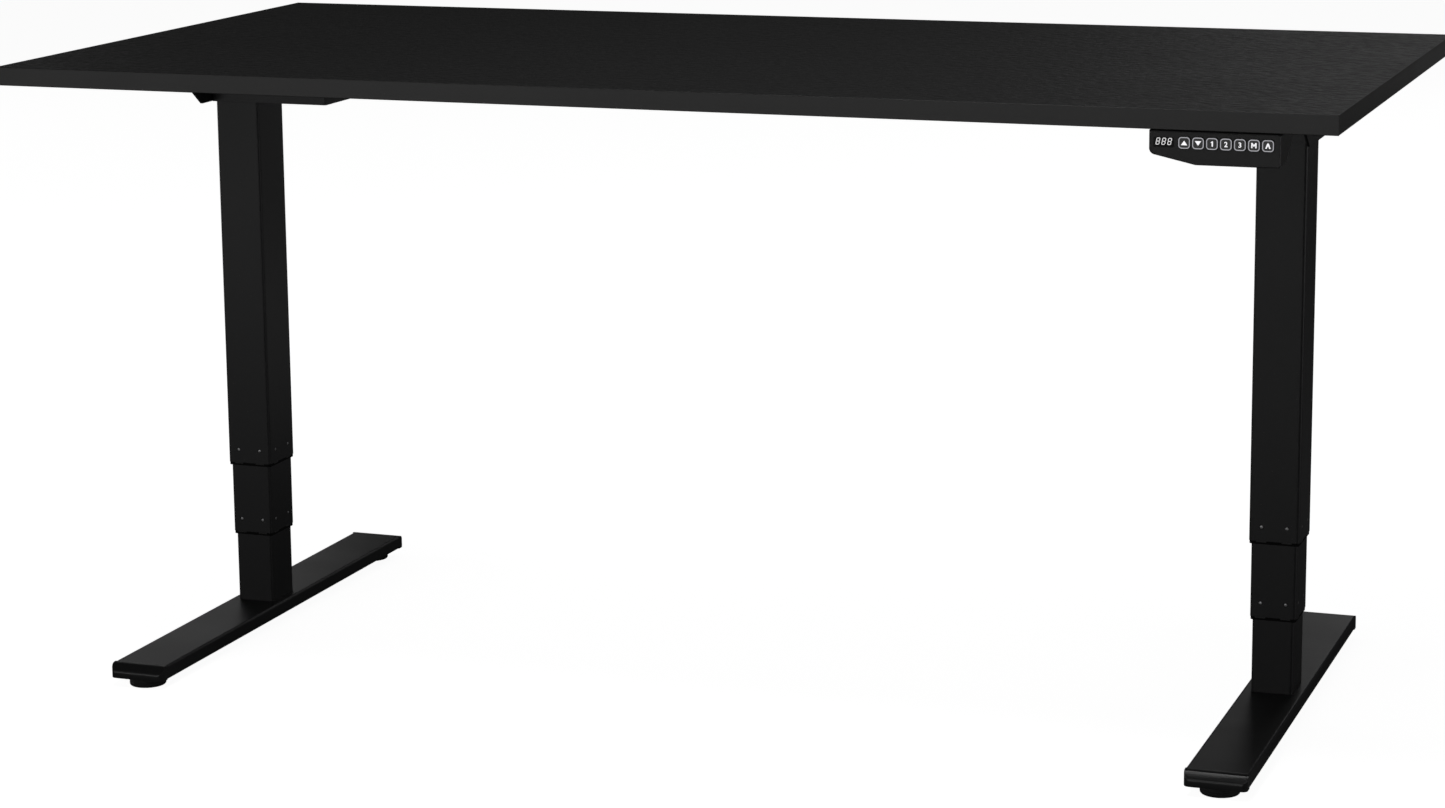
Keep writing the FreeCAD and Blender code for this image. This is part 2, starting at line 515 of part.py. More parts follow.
def foot_cap(end):
    """Plastic end of a foot: a plug in the beam, and a nose that slopes down to a low upright face."""
    start = FOOT_LENGTH / 2 - CAP_LENGTH
    tip = FOOT_LENGTH / 2
    nose_top = FOOT_BOTTOM + CAP_NOSE
    outline = [(start, FOOT_BOTTOM), (tip - 1, FOOT_BOTTOM), (tip, FOOT_BOTTOM + 1), (tip, nose_top),
               (start + 1, FOOT_TOP), (start, FOOT_TOP)]
    nose = plate(outline, "x", -COLUMN_X - FOOT_WIDTH / 2, FOOT_WIDTH)
    plan = rounded_box(-COLUMN_X - FOOT_WIDTH / 2, -COLUMN_X + FOOT_WIDTH / 2,
                       start - 2 * CAP_CORNER, tip, FOOT_BOTTOM - 1, FOOT_TOP + 1, CAP_CORNER)
    section = rounded_box(-COLUMN_X - FOOT_WIDTH / 2, -COLUMN_X + FOOT_WIDTH / 2, start, tip + 1,
                          FOOT_BOTTOM, FOOT_TOP, FOOT_CORNER, Y_AXIS)
    nose = nose.common(plan).common(section)
    crests = [e for e in parallel_edges(nose, X_AXIS) if e.CenterOfMass.y > start + 0.5
              and e.CenterOfMass.z > nose_top - 0.5]
    nose = nose.makeFillet(CAP_ROUND, crests)
    inset = FOOT_WALL + FIT
    plug = rounded_box(-COLUMN_X - FOOT_WIDTH / 2 + inset, -COLUMN_X + FOOT_WIDTH / 2 - inset,
                       start - CAP_PLUG, start + 0.5, FOOT_BOTTOM + inset, FOOT_TOP - inset, 0.8, Y_AXIS)
    slot_for_nut = cylinder(WELD_NUT_RADIUS + 0.5, -COLUMN_X, PAD_Y, FOOT_BOTTOM, FOOT_TOP)
    run_out = box(-COLUMN_X - WELD_NUT_RADIUS - 0.5, -COLUMN_X + WELD_NUT_RADIUS + 0.5,
                  start - CAP_PLUG - 1, PAD_Y, FOOT_BOTTOM, FOOT_TOP)
    plug = plug.cut([slot_for_nut, run_out])
    cap = nose.fuse(plug).removeSplitter()
    return cap if end > 0 else cap.mirror(Vec(0, 0, 0), Y_AXIS)


def foot_caps():
    left = [foot_cap(-1), foot_cap(1)]
    return Part.makeCompound(left + [mirrored(cap) for cap in left])


def base_plates():
    """Steel plates welded into the feet of the inner tubes, tapped for the bolts."""
    x0, x1 = -COLUMN_X - INNER_WIDTH / 2, -COLUMN_X + INNER_WIDTH / 2
    inset = WALL
    solid = rounded_box(x0 + inset, x1 - inset, -INNER_DEPTH / 2 + inset, INNER_DEPTH / 2 - inset,
                        FOOT_TOP, FOOT_TOP + BASE_PLATE, CORNER - WALL)
    holes = [cylinder(FOOT_BOLT_RADIUS + FIT, x, y, FOOT_TOP - 1, FOOT_TOP + BASE_PLATE + 1)
             for x, y in foot_bolt_places()]
    solid = solid.cut(holes)
    return Part.makeCompound([solid, mirrored(solid)])


def pad(y):
    """Round levelling foot with a snap pocket for the stud's flange."""
    disc = cylinder(PAD_RADIUS, -COLUMN_X, y, 0, PAD_HEIGHT)
    rims = [e for e in disc.Edges if isinstance(e.Curve, Part.Circle)]
    disc = disc.makeFillet(1.5, rims)
    pocket = cylinder(STUD_FLANGE + STUD_GAP, -COLUMN_X, y, PAD_FLOOR,
                      PAD_FLOOR + STUD_FLANGE_HEIGHT + 2 * STUD_GAP)
    neck = cylinder(STUD_RADIUS + STUD_GAP, -COLUMN_X, y, PAD_FLOOR, PAD_HEIGHT + 1)
    return disc.cut([pocket, neck])


def stud(y):
    bottom = PAD_FLOOR + STUD_GAP
    flange = cylinder(STUD_FLANGE, -COLUMN_X, y, bottom, bottom + STUD_FLANGE_HEIGHT)
    shank = cylinder(STUD_RADIUS, -COLUMN_X, y, bottom, STUD_TOP)
    return flange.fuse(shank).removeSplitter()


def handset_outline(inset=0.0):
    """Front outline: shallow and rounded at the left, deeper from the knee to the right end."""
    left, right = HANDSET_LEFT + inset, HANDSET_RIGHT - inset
    top = HANDSET_TOP - inset
    shallow, deep = UNDERSIDE - HANDSET_SHALLOW + inset, UNDERSIDE - HANDSET_DEEP + inset
    return [(left, top), (left, shallow), (HANDSET_LEFT + HANDSET_KNEE, deep), (right, deep), (right, top)]


def handset_body(inset, front, rear):
    """The outline pulled back from the front, with both right-hand corners and the lower left one rounded."""
    solid = plate(handset_outline(inset), "y", front, rear - front)
    left = [e for e in parallel_edges(solid, Y_AXIS)
            if e.CenterOfMass.x < HANDSET_LEFT + inset + 1 and e.CenterOfMass.z < HANDSET_TOP - inset - 1]
    solid = solid.makeFillet(HANDSET_LEFT_ROUND - inset / 2, left)
    right = [e for e in parallel_edges(solid, Y_AXIS) if e.CenterOfMass.x > HANDSET_RIGHT - inset - 1]
    return solid.makeFillet(HANDSET_RIGHT_ROUND - inset / 2, right)


def key_centres():
    return [KEY_FIRST_X + KEY_PITCH * i for i in range(len(KEY_NAMES))]


def key_opening(x, grow, front, rear):
    half = KEY_SIZE / 2 + grow
    return rounded_box(x - half, x + half, front, rear, KEY_Z - half, KEY_Z + half, KEY_CORNER + grow, Y_AXIS)


def display_block(grow, front, rear):
    half_x, half_z = DISPLAY_WIDTH / 2 + grow, DISPLAY_HEIGHT / 2 + grow
    return rounded_box(DISPLAY_X - half_x, DISPLAY_X + half_x, front, rear,
                       KEY_Z - half_z, KEY_Z + half_z, 1.5, Y_AXIS)


def handset_slope(lift=0.0):
    """The wedge that is missing under the rear of the handset."""
    low = UNDERSIDE - HANDSET_DEEP - 1
    start = HANDSET_FRONT + 22 - lift
    outline = [(start, low), (HANDSET_REAR + 1, low), (HANDSET_REAR + 1, UNDERSIDE - HANDSET_BACK + lift)]
    return plate(outline, "x", HANDSET_LEFT - 1, HANDSET_RIGHT - HANDSET_LEFT + 2)


def handset_tab():
    """Flange behind the handset that its two screws go up through."""
    middle = (HANDSET_LEFT + HANDSET_RIGHT) / 2
    reach = TAB_SCREW_X + TAB_DEPTH / 2
    tab = box(middle - reach, middle + reach, HANDSET_REAR - HANDSET_WALL, HANDSET_REAR + TAB_DEPTH,
              UNDERSIDE - TAB_THICKNESS, UNDERSIDE)
    holes = [cylinder(SCREW_RADIUS + 0.5, middle + side * TAB_SCREW_X, HANDSET_REAR + TAB_DEPTH / 2,
                      UNDERSIDE - TAB_THICKNESS - 1, UNDERSIDE + 1) for side in (-1, 1)]
    return tab.cut(holes)


def handset_gland():
    """Boss in the rear wall that the handset's lead comes out of."""
    x, z = HANDSET_LEFT + 20, UNDERSIDE - 8
    outside = rod_y(GLAND_RADIUS, x, HANDSET_REAR - HANDSET_WALL, HANDSET_REAR + GLAND_LENGTH, z)
    return outside.cut(rod_y(GLAND_BORE, x, HANDSET_REAR, HANDSET_REAR + GLAND_LENGTH + 1, z))


def handset_housing():
    shell = handset_body(0.0, HANDSET_FRONT, HANDSET_REAR).cut(handset_slope())
    rim = [e for e in shell.Edges if abs(e.CenterOfMass.y - HANDSET_FRONT) < 0.01
           and e.CenterOfMass.z < HANDSET_TOP - 0.5]
    shell = shell.makeChamfer(1.0, rim)
    room_front, room_rear = HANDSET_FRONT + PANEL_THICKNESS + HANDSET_WALL, HANDSET_REAR - HANDSET_WALL
    room = handset_body(HANDSET_WALL, room_front, room_rear)
    shell = shell.cut(room.cut(handset_slope(2 * HANDSET_WALL)))
    shell = shell.cut(handset_body(PANEL_INSET, HANDSET_FRONT - 1, HANDSET_FRONT + PANEL_THICKNESS))
    front, rear = HANDSET_FRONT, HANDSET_FRONT + PANEL_THICKNESS + HANDSET_WALL + 0.5
    openings = [key_opening(x, KEY_GAP, front, rear) for x in key_centres()]
    openings.append(display_block(FIT, front, rear))
    return shell.cut(openings).fuse([handset_tab(), handset_gland()]).removeSplitter()


def handset_circuit():
    """Circuit board behind the keys, with a switch for each key and the display's module."""
    z0, z1 = UNDERSIDE - HANDSET_SHALLOW + 4, HANDSET_TOP - HANDSET_WALL - 1
    start = HANDSET_FRONT + PANEL_THICKNESS + HANDSET_WALL
    y0 = start + KEY_FLANGE + KEY_TRAVEL_ROOM + SWITCH_HEIGHT
    circuit = box(HANDSET_LEFT + 5, HANDSET_RIGHT - 5, y0, y0 + CIRCUIT_THICKNESS, z0, z1)
    switches = [box(x - SWITCH_HALF, x + SWITCH_HALF, y0 - SWITCH_HEIGHT, y0,
                    KEY_Z - SWITCH_HALF, KEY_Z + SWITCH_HALF) for x in key_centres()]
    module = box(DISPLAY_X - DISPLAY_WIDTH / 2, DISPLAY_X + DISPLAY_WIDTH / 2, start + FIT, y0,
                 KEY_Z - DISPLAY_HEIGHT / 2, KEY_Z + DISPLAY_HEIGHT / 2)
    return circuit.fuse(switches + [module]).removeSplitter()


def handset_panel():
    """Printed front sheet, let into the housing's face."""
    sheet = handset_body(PANEL_INSET + FIT, HANDSET_FRONT, HANDSET_FRONT + PANEL_THICKNESS)
    front, rear = HANDSET_FRONT - 1, HANDSET_FRONT + PANEL_THICKNESS + 1
    openings = [key_opening(x, KEY_GAP, front, rear) for x in key_centres()]
    openings.append(display_block(FIT, front, rear))
    return sheet.cut(openings)


def key(x):
    """Push key: a cap in the panel's opening, with lips above and below it behind the wall."""
    front = HANDSET_FRONT - KEY_PROUD
    cap = key_opening(x, 0.0, front, front + KEY_DEPTH)
    rim = [e for e in cap.Edges if abs(e.CenterOfMass.y - front) < 0.01]
    cap = cap.makeFillet(0.5, rim)
    wall_back = HANDSET_FRONT + PANEL_THICKNESS + HANDSET_WALL
    reach = KEY_SIZE / 2 + KEY_GAP + KEY_LIP
    flange = box(x - KEY_SIZE / 2 + KEY_CORNER, x + KEY_SIZE / 2 - KEY_CORNER, wall_back + FIT,
                 wall_back + FIT + KEY_FLANGE, KEY_Z - reach, KEY_Z + reach)
    return cap.fuse(flange).removeSplitter()


def control_box_case():
    """Moulded case with a mains inlet in one end and three rows of socket ways in the other."""
    z0 = UNDERSIDE - BOX_HEIGHT
    lid_z = UNDERSIDE - LID_THICKNESS
    case = rounded_box(BOX_X0, BOX_X1, BOX_Y0, BOX_Y1, z0, lid_z, 6)
    low = [e for e in case.Edges if abs(e.CenterOfMass.z - z0) < 0.01]
    case = case.makeFillet(2.5, low)
    room = rounded_box(BOX_X0 + BOX_WALL + INLET_DEPTH, BOX_X1 - BOX_WALL - WAY_DEPTH, BOX_Y0 + BOX_WALL,
                       BOX_Y1 - BOX_WALL, z0 + BOX_WALL, lid_z + 1, 4)
    middle_y, middle_z = (BOX_Y0 + BOX_Y1) / 2, z0 + BOX_HEIGHT / 2
    y0, y1 = middle_y - INLET_WIDTH / 2, middle_y + INLET_WIDTH / 2
    z1, z2 = middle_z - INLET_HEIGHT / 2, middle_z + INLET_HEIGHT / 2
    inlet = rounded_box(BOX_X0 - 1, BOX_X0 + INLET_DEPTH, y0, y1, z1, z2, 0.48 * INLET_HEIGHT, X_AXIS)
    case = case.cut([room, inlet])
    pins = [rod_x(INLET_PIN_RADIUS, BOX_X0 + INLET_DEPTH - INLET_PIN_LENGTH, BOX_X0 + INLET_DEPTH + 1,
                  middle_y + side * INLET_WIDTH / 4, middle_z) for side in (-1, 1)]
    case = case.fuse(pins)
    ways = []
    for column in (-1, 0, 1):
        for row in (-0.5, 0.5):
            for hole in (-1, 0, 1):
                y = middle_y + column * SOCKET_PITCH + hole * WAY_PITCH
                z = middle_z + row * WAY_PITCH
                ways.append(box(BOX_X1 - WAY_DEPTH, BOX_X1 + 1, y - WAY_HALF, y + WAY_HALF,
                                z - WAY_HALF, z + WAY_HALF))
    return case.cut(ways)


def control_box_lid():
    """Flat lid with an ear at each end for the screws."""
    lid = rounded_box(BOX_X0 - LID_EAR, BOX_X1 + LID_EAR, BOX_Y0, BOX_Y1,
                      UNDERSIDE - LID_THICKNESS, UNDERSIDE, 6)
    holes = []
    for x in (BOX_X0 - LID_EAR / 2, BOX_X1 + LID_EAR / 2):
        for y in (BOX_Y0 + LID_EAR, BOX_Y1 - LID_EAR):
            holes.append(cylinder(SCREW_RADIUS + 0.5, x, y, UNDERSIDE - LID_THICKNESS - 1, UNDERSIDE + 1))
    return lid.cut(holes)


def mirrored(shape):
    """The same piece on the right-hand side."""
    return shape.mirror(Vec(0, 0, 0), X_AXIS)


def save(name, shape):
    shape.exportStep(os.path.join("parts", name + ".step"))


def save_pair(name, shape):
    save("left_" + name, shape)
    save("right_" + name, mirrored(shape))


def main():
    save("desktop_board", board())
    save("desktop_edge_band", edge_band())
    save("desktop_screws", board_screws())
    save("frame_bolts", frame_bolts())
    save("front_rail", rail(-1))
    save("rear_rail", rail(1))
    save_pair("support_arm", arm())
    save_pair("column_head", head())

    outer, outer_glides = stage_with_glides(OUTER_WIDTH, OUTER_DEPTH, OUTER_BOTTOM, OUTER_TOP)
    middle, middle_glides = stage_with_glides(MIDDLE_WIDTH, MIDDLE_DEPTH, MIDDLE_BOTTOM, MIDDLE_TOP)
    save_pair("outer_tube", outer)
    save_pair("outer_glides", outer_glides)
    save_pair("middle_tube", middle)
    save_pair("middle_glides", middle_glides)
    save_pair("inner_tube", stage(INNER_WIDTH, INNER_DEPTH, INNER_BOTTOM, INNER_TOP))

    save_pair("motor", motor())
    save_pair("gearbox", gearbox())
    save_pair("worm", worm())
    save_pair("upper_screw", upper_screw())
    save_pair("lower_screw", lower_screw())
    save_pair("upper_nut", nut(MIDDLE_WIDTH, MIDDLE_DEPTH, MIDDLE_TOP, NUT_DEPTH, UPPER_SCREW_RADIUS, True))
    save_pair("lower_nut", nut(INNER_WIDTH, INNER_DEPTH, INNER_TOP, LOWER_NUT_DEPTH, LOWER_SCREW_RADIUS))

    save_pair("foot_beam", foot_beam())
    save("foot_caps", foot_caps())
    save("column_base_plates", base_plates())
    save("foot_fasteners", foot_fasteners())
    for end, y in (("front", -PAD_Y), ("rear", PAD_Y)):
        save_pair(end + "_leveller_pad", pad(y))
        save_pair(end + "_leveller_stud", stud(y))

    save("handset_housing", handset_housing())
    save("handset_panel", handset_panel())
    save("handset_circuit", handset_circuit())
    save("display_window", display_block(0.0, HANDSET_FRONT, HANDSET_FRONT + DISPLAY_THICKNESS))
    for name, x in zip(KEY_NAMES, key_centres()):
        save(name, key(x))
    save("control_box_case", control_box_case())
    save("control_box_lid", control_box_lid())


main()
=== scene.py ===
# %% [markdown]
# # An electric standing desk
#
# The desk is a black board on a steel frame. Each of its two columns has three tubes that slide
# in one another, and each column stands on a flat foot. A handset with a display and seven keys
# hangs under the front edge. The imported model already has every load-bearing piece at its real
# size, so this lesson does the rest: it gives each of those pieces a finish, and models the small
# moulded, turned and printed pieces that the eye looks for.
#
# Everything is in metres. +Z is up, the front edge faces -Y, and +X is the user's right.

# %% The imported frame
import json
import math
import bpy
from mathutils import Matrix, Vector


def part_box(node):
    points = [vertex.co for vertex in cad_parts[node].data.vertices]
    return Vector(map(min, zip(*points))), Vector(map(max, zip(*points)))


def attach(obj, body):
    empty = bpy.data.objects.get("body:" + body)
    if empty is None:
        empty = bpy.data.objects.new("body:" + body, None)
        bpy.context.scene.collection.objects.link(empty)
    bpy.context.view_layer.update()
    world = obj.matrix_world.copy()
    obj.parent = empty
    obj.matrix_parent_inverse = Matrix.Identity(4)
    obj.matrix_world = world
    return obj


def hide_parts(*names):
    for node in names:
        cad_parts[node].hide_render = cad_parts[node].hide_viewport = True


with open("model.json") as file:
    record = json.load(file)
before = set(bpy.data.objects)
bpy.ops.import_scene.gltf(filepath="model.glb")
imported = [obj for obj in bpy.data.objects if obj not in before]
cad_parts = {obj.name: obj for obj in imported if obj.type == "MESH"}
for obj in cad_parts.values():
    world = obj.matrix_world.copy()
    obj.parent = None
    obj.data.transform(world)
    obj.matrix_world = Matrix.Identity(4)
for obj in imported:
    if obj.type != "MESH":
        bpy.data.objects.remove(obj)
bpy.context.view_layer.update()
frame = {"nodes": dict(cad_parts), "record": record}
nodes = frame["nodes"]
MM = 0.001

# %% [markdown]
# ## The camera
#
# The desk is looked at from its front right, from a little above the board, with a long lens that
# keeps the two columns nearly parallel. Its place and its three turns are known numbers, so one
# matrix says it all. A small vertical shift puts the feet at the lower edge of the frame.

# %% Camera
EYE = (1.424624, -4.004749, 1.250831)
YAW, PITCH, ROLL = 19.924, 10.781, -0.525      # in degrees
LENS, SENSOR, SHIFT = 87.2, 36.0, -0.0602      # lens and sensor in millimetres
bpy.ops.object.camera_add()
camera = bpy.context.object
camera.name = "studio_camera"
camera.data.lens = LENS
camera.data.sensor_width = SENSOR
camera.data.shift_y = SHIFT
turn = (Matrix.Rotation(math.radians(YAW), 4, "Z")
        @ Matrix.Rotation(math.radians(90 - PITCH), 4, "X")
        @ Matrix.Rotation(math.radians(ROLL), 4, "Z"))
camera.matrix_world = Matrix.Translation(EYE) @ turn
bpy.context.scene.camera = camera
print("camera height", round(EYE[2], 3), "m, lens", LENS, "mm")

# %% [markdown]
# ## How a finish is put together
#
# A finish in Blender is a tree of nodes that ends in a Principled shader. Each tree here needs
# the same few steps: add a node, give it values, and wire one node's output to another's input.
# One small function does them, so a whole tree reads like a recipe.


# %% Node helpers
def node(tree, kind, inputs=None, **settings):
    """Adds a node of this kind, with its settings, and fills its inputs or wires them."""
    made = tree.nodes.new("ShaderNode" + kind)
    for setting, value in settings.items():
        setattr(made, setting, value)
    for name, value in (inputs or {}).items():
        if isinstance(value, bpy.types.NodeSocket):
            tree.links.new(value, made.inputs[name])
        else:
            made.inputs[name].default_value = value
    return made


def sums(tree, operation, *values, clamp=False):
    """A Math node; its inputs are given in order."""
    inputs = dict(enumerate(values))
    return node(tree, "Math", inputs, operation=operation, use_clamp=clamp).outputs[0]


def blend_colors(tree, share, first, second):
    """The first colour where share is 0, the second where it is 1."""
    mix = node(tree, "Mix", {0: share, 6: first, 7: second}, data_type="RGBA")
    return mix.outputs[2]


def new_group(name, sockets_in, sockets_out):
    """An empty node group with named inputs (and their usual values) and named outputs."""
    group = bpy.data.node_groups.new(name, "ShaderNodeTree")
    for title, kind, usual in sockets_in:
        socket = group.interface.new_socket(title, in_out="INPUT", socket_type=kind)
        if usual is not None:
            socket.default_value = usual
    for title, kind in sockets_out:
        group.interface.new_socket(title, in_out="OUTPUT", socket_type=kind)
    return group, group.nodes.new("NodeGroupInput"), group.nodes.new("NodeGroupOutput")


FLOAT, VECTOR = "NodeSocketFloat", "NodeSocketVector"

# %% [markdown]
# ## Grain: what the surface feels like
#
# Powder coat has a faint orange-peel ripple, and a moulded case has the fine pebble that spark
# erosion leaves in the tool. Both are small bumps, so one group makes them: a soft noise for the
# ripple and rounded cells for the pebble, mixed by a share. An image could do it too, but noise
# has no seams.

# %% Grain group
grain, entry, leave = new_group(
    "surface_grain",
    [("Vector", VECTOR, None), ("Cell Size", FLOAT, 0.001), ("Pebble", FLOAT, 0.0)],
    [("Height", FLOAT), ("Tone", FLOAT)])
per_metre = sums(grain, "DIVIDE", 1.0, entry.outputs["Cell Size"])
ripple = node(grain, "TexNoise", {"Vector": entry.outputs["Vector"],
                                  "Scale": per_metre, "Detail": 2.0, "Roughness": 0.55})
cells = node(grain, "TexVoronoi", {"Vector": entry.outputs["Vector"],
                                   "Scale": per_metre, "Smoothness": 0.6},
             feature="SMOOTH_F1")
mound = sums(grain, "SUBTRACT", 1.0, cells.outputs["Distance"])
mixed = node(grain, "Mix", {0: entry.outputs["Pebble"], 2: ripple.outputs["Fac"],
                            3: mound}, data_type="FLOAT")
grain.links.new(mixed.outputs[0], leave.inputs["Height"])
broad = node(grain, "TexNoise", {"Vector": entry.outputs["Vector"], "Scale": 7.0,
                                 "Detail": 4.0})
grain.links.new(broad.outputs["Fac"], leave.inputs["Tone"])
print("grain group:", len(grain.nodes), "nodes")

# %% [markdown]
# ## Edge wear: what hands and cloths do to corners
#
# No bent or cut edge is perfectly sharp, and the coat on it is thinner and rubbed smoother. The
# Bevel node looks up the normals around a point, so it can do both: its own normal makes a sharp
# edge catch the light as a small round would, and where that normal differs from the face's,
# there is an edge. A noise breaks the mask up.

# %% Edge wear group
WEAR_GAIN = 9.0        # how soon a turned normal counts as an edge
WEAR_LEAST = 0.2       # wear that is left where the noise is darkest
wear, entry, leave = new_group(
    "edge_wear", [("Vector", VECTOR, None), ("Radius", FLOAT, 0.0006), ("Amount", FLOAT, 1.0)],
    [("Edge", FLOAT), ("Normal", VECTOR)])
rounded = node(wear, "Bevel", {"Radius": entry.outputs["Radius"]}, samples=6)
face = node(wear, "NewGeometry")
alike = node(wear, "VectorMath", {0: rounded.outputs["Normal"],
                                  1: face.outputs["Normal"]}, operation="DOT_PRODUCT")
unlike = sums(wear, "SUBTRACT", 1.0, alike.outputs["Value"])
off_face = sums(wear, "MULTIPLY", unlike, WEAR_GAIN, clamp=True)
patchy = node(wear, "TexNoise", {"Vector": entry.outputs["Vector"], "Scale": 160.0,
                                 "Detail": 3.0})
patches = sums(wear, "ADD", patchy.outputs["Fac"], WEAR_LEAST, clamp=True)
broken = sums(wear, "MULTIPLY", off_face, patches)
edge_mask = sums(wear, "MULTIPLY", broken, entry.outputs["Amount"], clamp=True)
wear.links.new(edge_mask, leave.inputs["Edge"])
wear.links.new(rounded.outputs["Normal"], leave.inputs["Normal"])
print("edge wear group:", len(wear.nodes), "nodes")

# %% [markdown]
# ## Dust and smudges: what keeps black from being one flat black
#
# A few pale specks settle on every black surface, and a wiped surface keeps soft cloudy marks
# that only show in its gloss. The specks are the hearts of Voronoi cells, thinned out by a noise.
# The smudges are one stretched noise.

# %% Dust group
SPECK_REACH = 0.075       # how far a speck reaches from the heart of its cell
DUSTY_ABOVE = 0.60        # specks lie only where the second noise is above this
dust, entry, leave = new_group("dust_and_smudges", [("Vector", VECTOR, None), ("Dust", FLOAT, 0.3)],
                               [("Specks", FLOAT), ("Smudge", FLOAT)])
spots = node(dust, "TexVoronoi", {"Vector": entry.outputs["Vector"], "Scale": 220.0})
hearts = sums(dust, "LESS_THAN", spots.outputs["Distance"], SPECK_REACH)
few = node(dust, "TexNoise", {"Vector": entry.outputs["Vector"], "Scale": 35.0,
                              "Detail": 1.0})
here = sums(dust, "GREATER_THAN", few.outputs["Fac"], DUSTY_ABOVE)
specks = sums(dust, "MULTIPLY", sums(dust, "MULTIPLY", hearts, here), entry.outputs["Dust"])
dust.links.new(specks, leave.inputs["Specks"])
longer = node(dust, "Mapping", {"Vector": entry.outputs["Vector"],
                                "Scale": (5.0, 9.0, 3.0)})
clouds = node(dust, "TexNoise", {"Vector": longer.outputs[0], "Scale": 1.0, "Detail": 5.0,
                                 "Distortion": 0.6})
dust.links.new(clouds.outputs["Fac"], leave.inputs["Smudge"])
print("dust group:", len(dust.nodes), "nodes")

# %% [markdown]
# ## One recipe for coated and moulded finishes
#
# Most finishes on the desk differ only in numbers: how dark, how glossy, how coarse the grain,
# how worn the edges. One function wires the three groups to a Principled shader. What is the same
# all over, such as the specular level, is set on the shader itself.
#
# Black is never zero. These finishes reflect one to three percent of the light, and the rest of
# what is seen on them is gloss, so the roughness matters more than the colour. Lengths, such as a
# grain's cell and height and an edge's radius, are in metres.

# %% Finish recipe
FINISHES = {}
DUST_COLOR = (0.30, 0.29, 0.27, 1.0)
RUBBED_PALER = 2.2         # a rubbed edge against the finish's light colour, if it has no own
RUBBED_SMOOTHER = 0.12     # roughness that a rubbed edge loses


def finish(name, dark, light, rough, cell, bump, pebble=0.0, edge=0.0006, worn=None,
           wear_amount=0.5, speck=0.3, smudge=0.12, metal=0.0, specular=0.5, coat=0.0):
    """Makes a finish: dark to light is its colour, cell and bump its grain's size and height."""
    material = bpy.data.materials.new(name)
    material.use_nodes = True
    tree = material.node_tree
    shader = tree.nodes["Principled BSDF"]
    place = node(tree, "TexCoord").outputs["Object"]
    texture = node(tree, "Group", node_tree=grain)
    edges = node(tree, "Group", node_tree=wear)
    marks = node(tree, "Group", node_tree=dust)
    for group_node, values in ((texture, {"Cell Size": cell, "Pebble": pebble}),
                               (edges, {"Radius": edge, "Amount": wear_amount}),
                               (marks, {"Dust": speck})):
        tree.links.new(place, group_node.inputs["Vector"])
        for title, value in values.items():
            group_node.inputs[title].default_value = value
    base = blend_colors(tree, texture.outputs["Tone"], (*dark, 1.0), (*light, 1.0))
    worn = worn or [RUBBED_PALER * c for c in light]
    rubbed = blend_colors(tree, edges.outputs["Edge"], base, (*worn, 1.0))
    dusty = blend_colors(tree, marks.outputs["Specks"], rubbed, DUST_COLOR)
    tree.links.new(dusty, shader.inputs["Base Color"])
    cloudy = sums(tree, "MULTIPLY_ADD", marks.outputs["Smudge"], smudge, rough - smudge / 2)
    smoother = sums(tree, "MULTIPLY_ADD", edges.outputs["Edge"], -RUBBED_SMOOTHER, cloudy)
    roughness = sums(tree, "ADD", smoother, marks.outputs["Specks"], clamp=True)
    tree.links.new(roughness, shader.inputs["Roughness"])
    bumps = node(tree, "Bump", {"Height": texture.outputs["Height"], "Strength": 1.0,
                                "Distance": bump, "Normal": edges.outputs["Normal"]})
    tree.links.new(bumps.outputs[0], shader.inputs["Normal"])
    for title, value in (("Metallic", metal), ("Specular IOR Level", specular),
                         ("Coat Weight", coat), ("Coat Roughness", 0.2)):
        shader.inputs[title].default_value = value
    FINISHES[name] = material
    return tree, shader, place


# %% [markdown]
# ## The finishes of the frame and the plastics
#
# The steel is powder coated in satin black with a touch of blue. Screws, nuts and bolts are black
# zinc, a thin conversion layer through which the metal still shows. The plastics run from the
# matt rubber of the pads to the satin of the caps.

# %% Frame and plastic finishes
def grey(level):
    return (level, level, level)


finish("powder_coat", (0.0070, 0.0070, 0.0078), (0.0105, 0.0105, 0.0115), rough=0.42, cell=0.0011,
       bump=0.000010, pebble=0.25, edge=0.0005, wear_amount=0.35, smudge=0.10)
finish("edge_band", (0.0210, 0.0205, 0.0200), (0.0260, 0.0255, 0.0250), rough=0.46, cell=0.0016,
       bump=0.000006, pebble=0.4, edge=0.0004, wear_amount=0.6, smudge=0.08, specular=0.7)
finish("fastener_steel", (0.030, 0.030, 0.032), (0.060, 0.060, 0.064), rough=0.34, cell=0.0006,
       bump=0.000006, edge=0.0003, worn=(0.30, 0.30, 0.31), metal=0.9)
finish("glide_plastic", grey(0.010), grey(0.016), rough=0.40, cell=0.0008, bump=0.000006,
       pebble=0.3)
finish("pin_end", (0.42, 0.42, 0.43), (0.56, 0.56, 0.57), rough=0.36, cell=0.0006, bump=0.000004,
       worn=(0.70, 0.70, 0.71), metal=0.8, speck=0.0)
finish("nut_plastic", (0.55, 0.53, 0.48), (0.68, 0.66, 0.60), rough=0.42, cell=0.0015,
       bump=0.000010, pebble=0.2, smudge=0.16, worn=(0.74, 0.72, 0.66), speck=0.1)
finish("gearbox_case", (0.018, 0.018, 0.019), (0.034, 0.034, 0.036), rough=0.55, cell=0.0007,
       bump=0.000020, pebble=0.8)
finish("motor_can", (0.085, 0.085, 0.090), (0.125, 0.125, 0.130), rough=0.38, cell=0.0010,
       bump=0.000010, worn=(0.34, 0.34, 0.35), metal=0.5)
finish("cap_plastic", (0.009, 0.009, 0.0095), (0.014, 0.014, 0.0145), rough=0.30, cell=0.0007,
       bump=0.000006, pebble=0.6, edge=0.0004, smudge=0.10)
finish("pad_rubber", grey(0.009), grey(0.017), rough=0.62, cell=0.0009, bump=0.000020, pebble=0.5,
       specular=0.35, smudge=0.2, speck=0.5)
finish("handset_shell", grey(0.013), grey(0.020), rough=0.42, cell=0.0005, bump=0.000008,
       pebble=0.7, edge=0.0004)
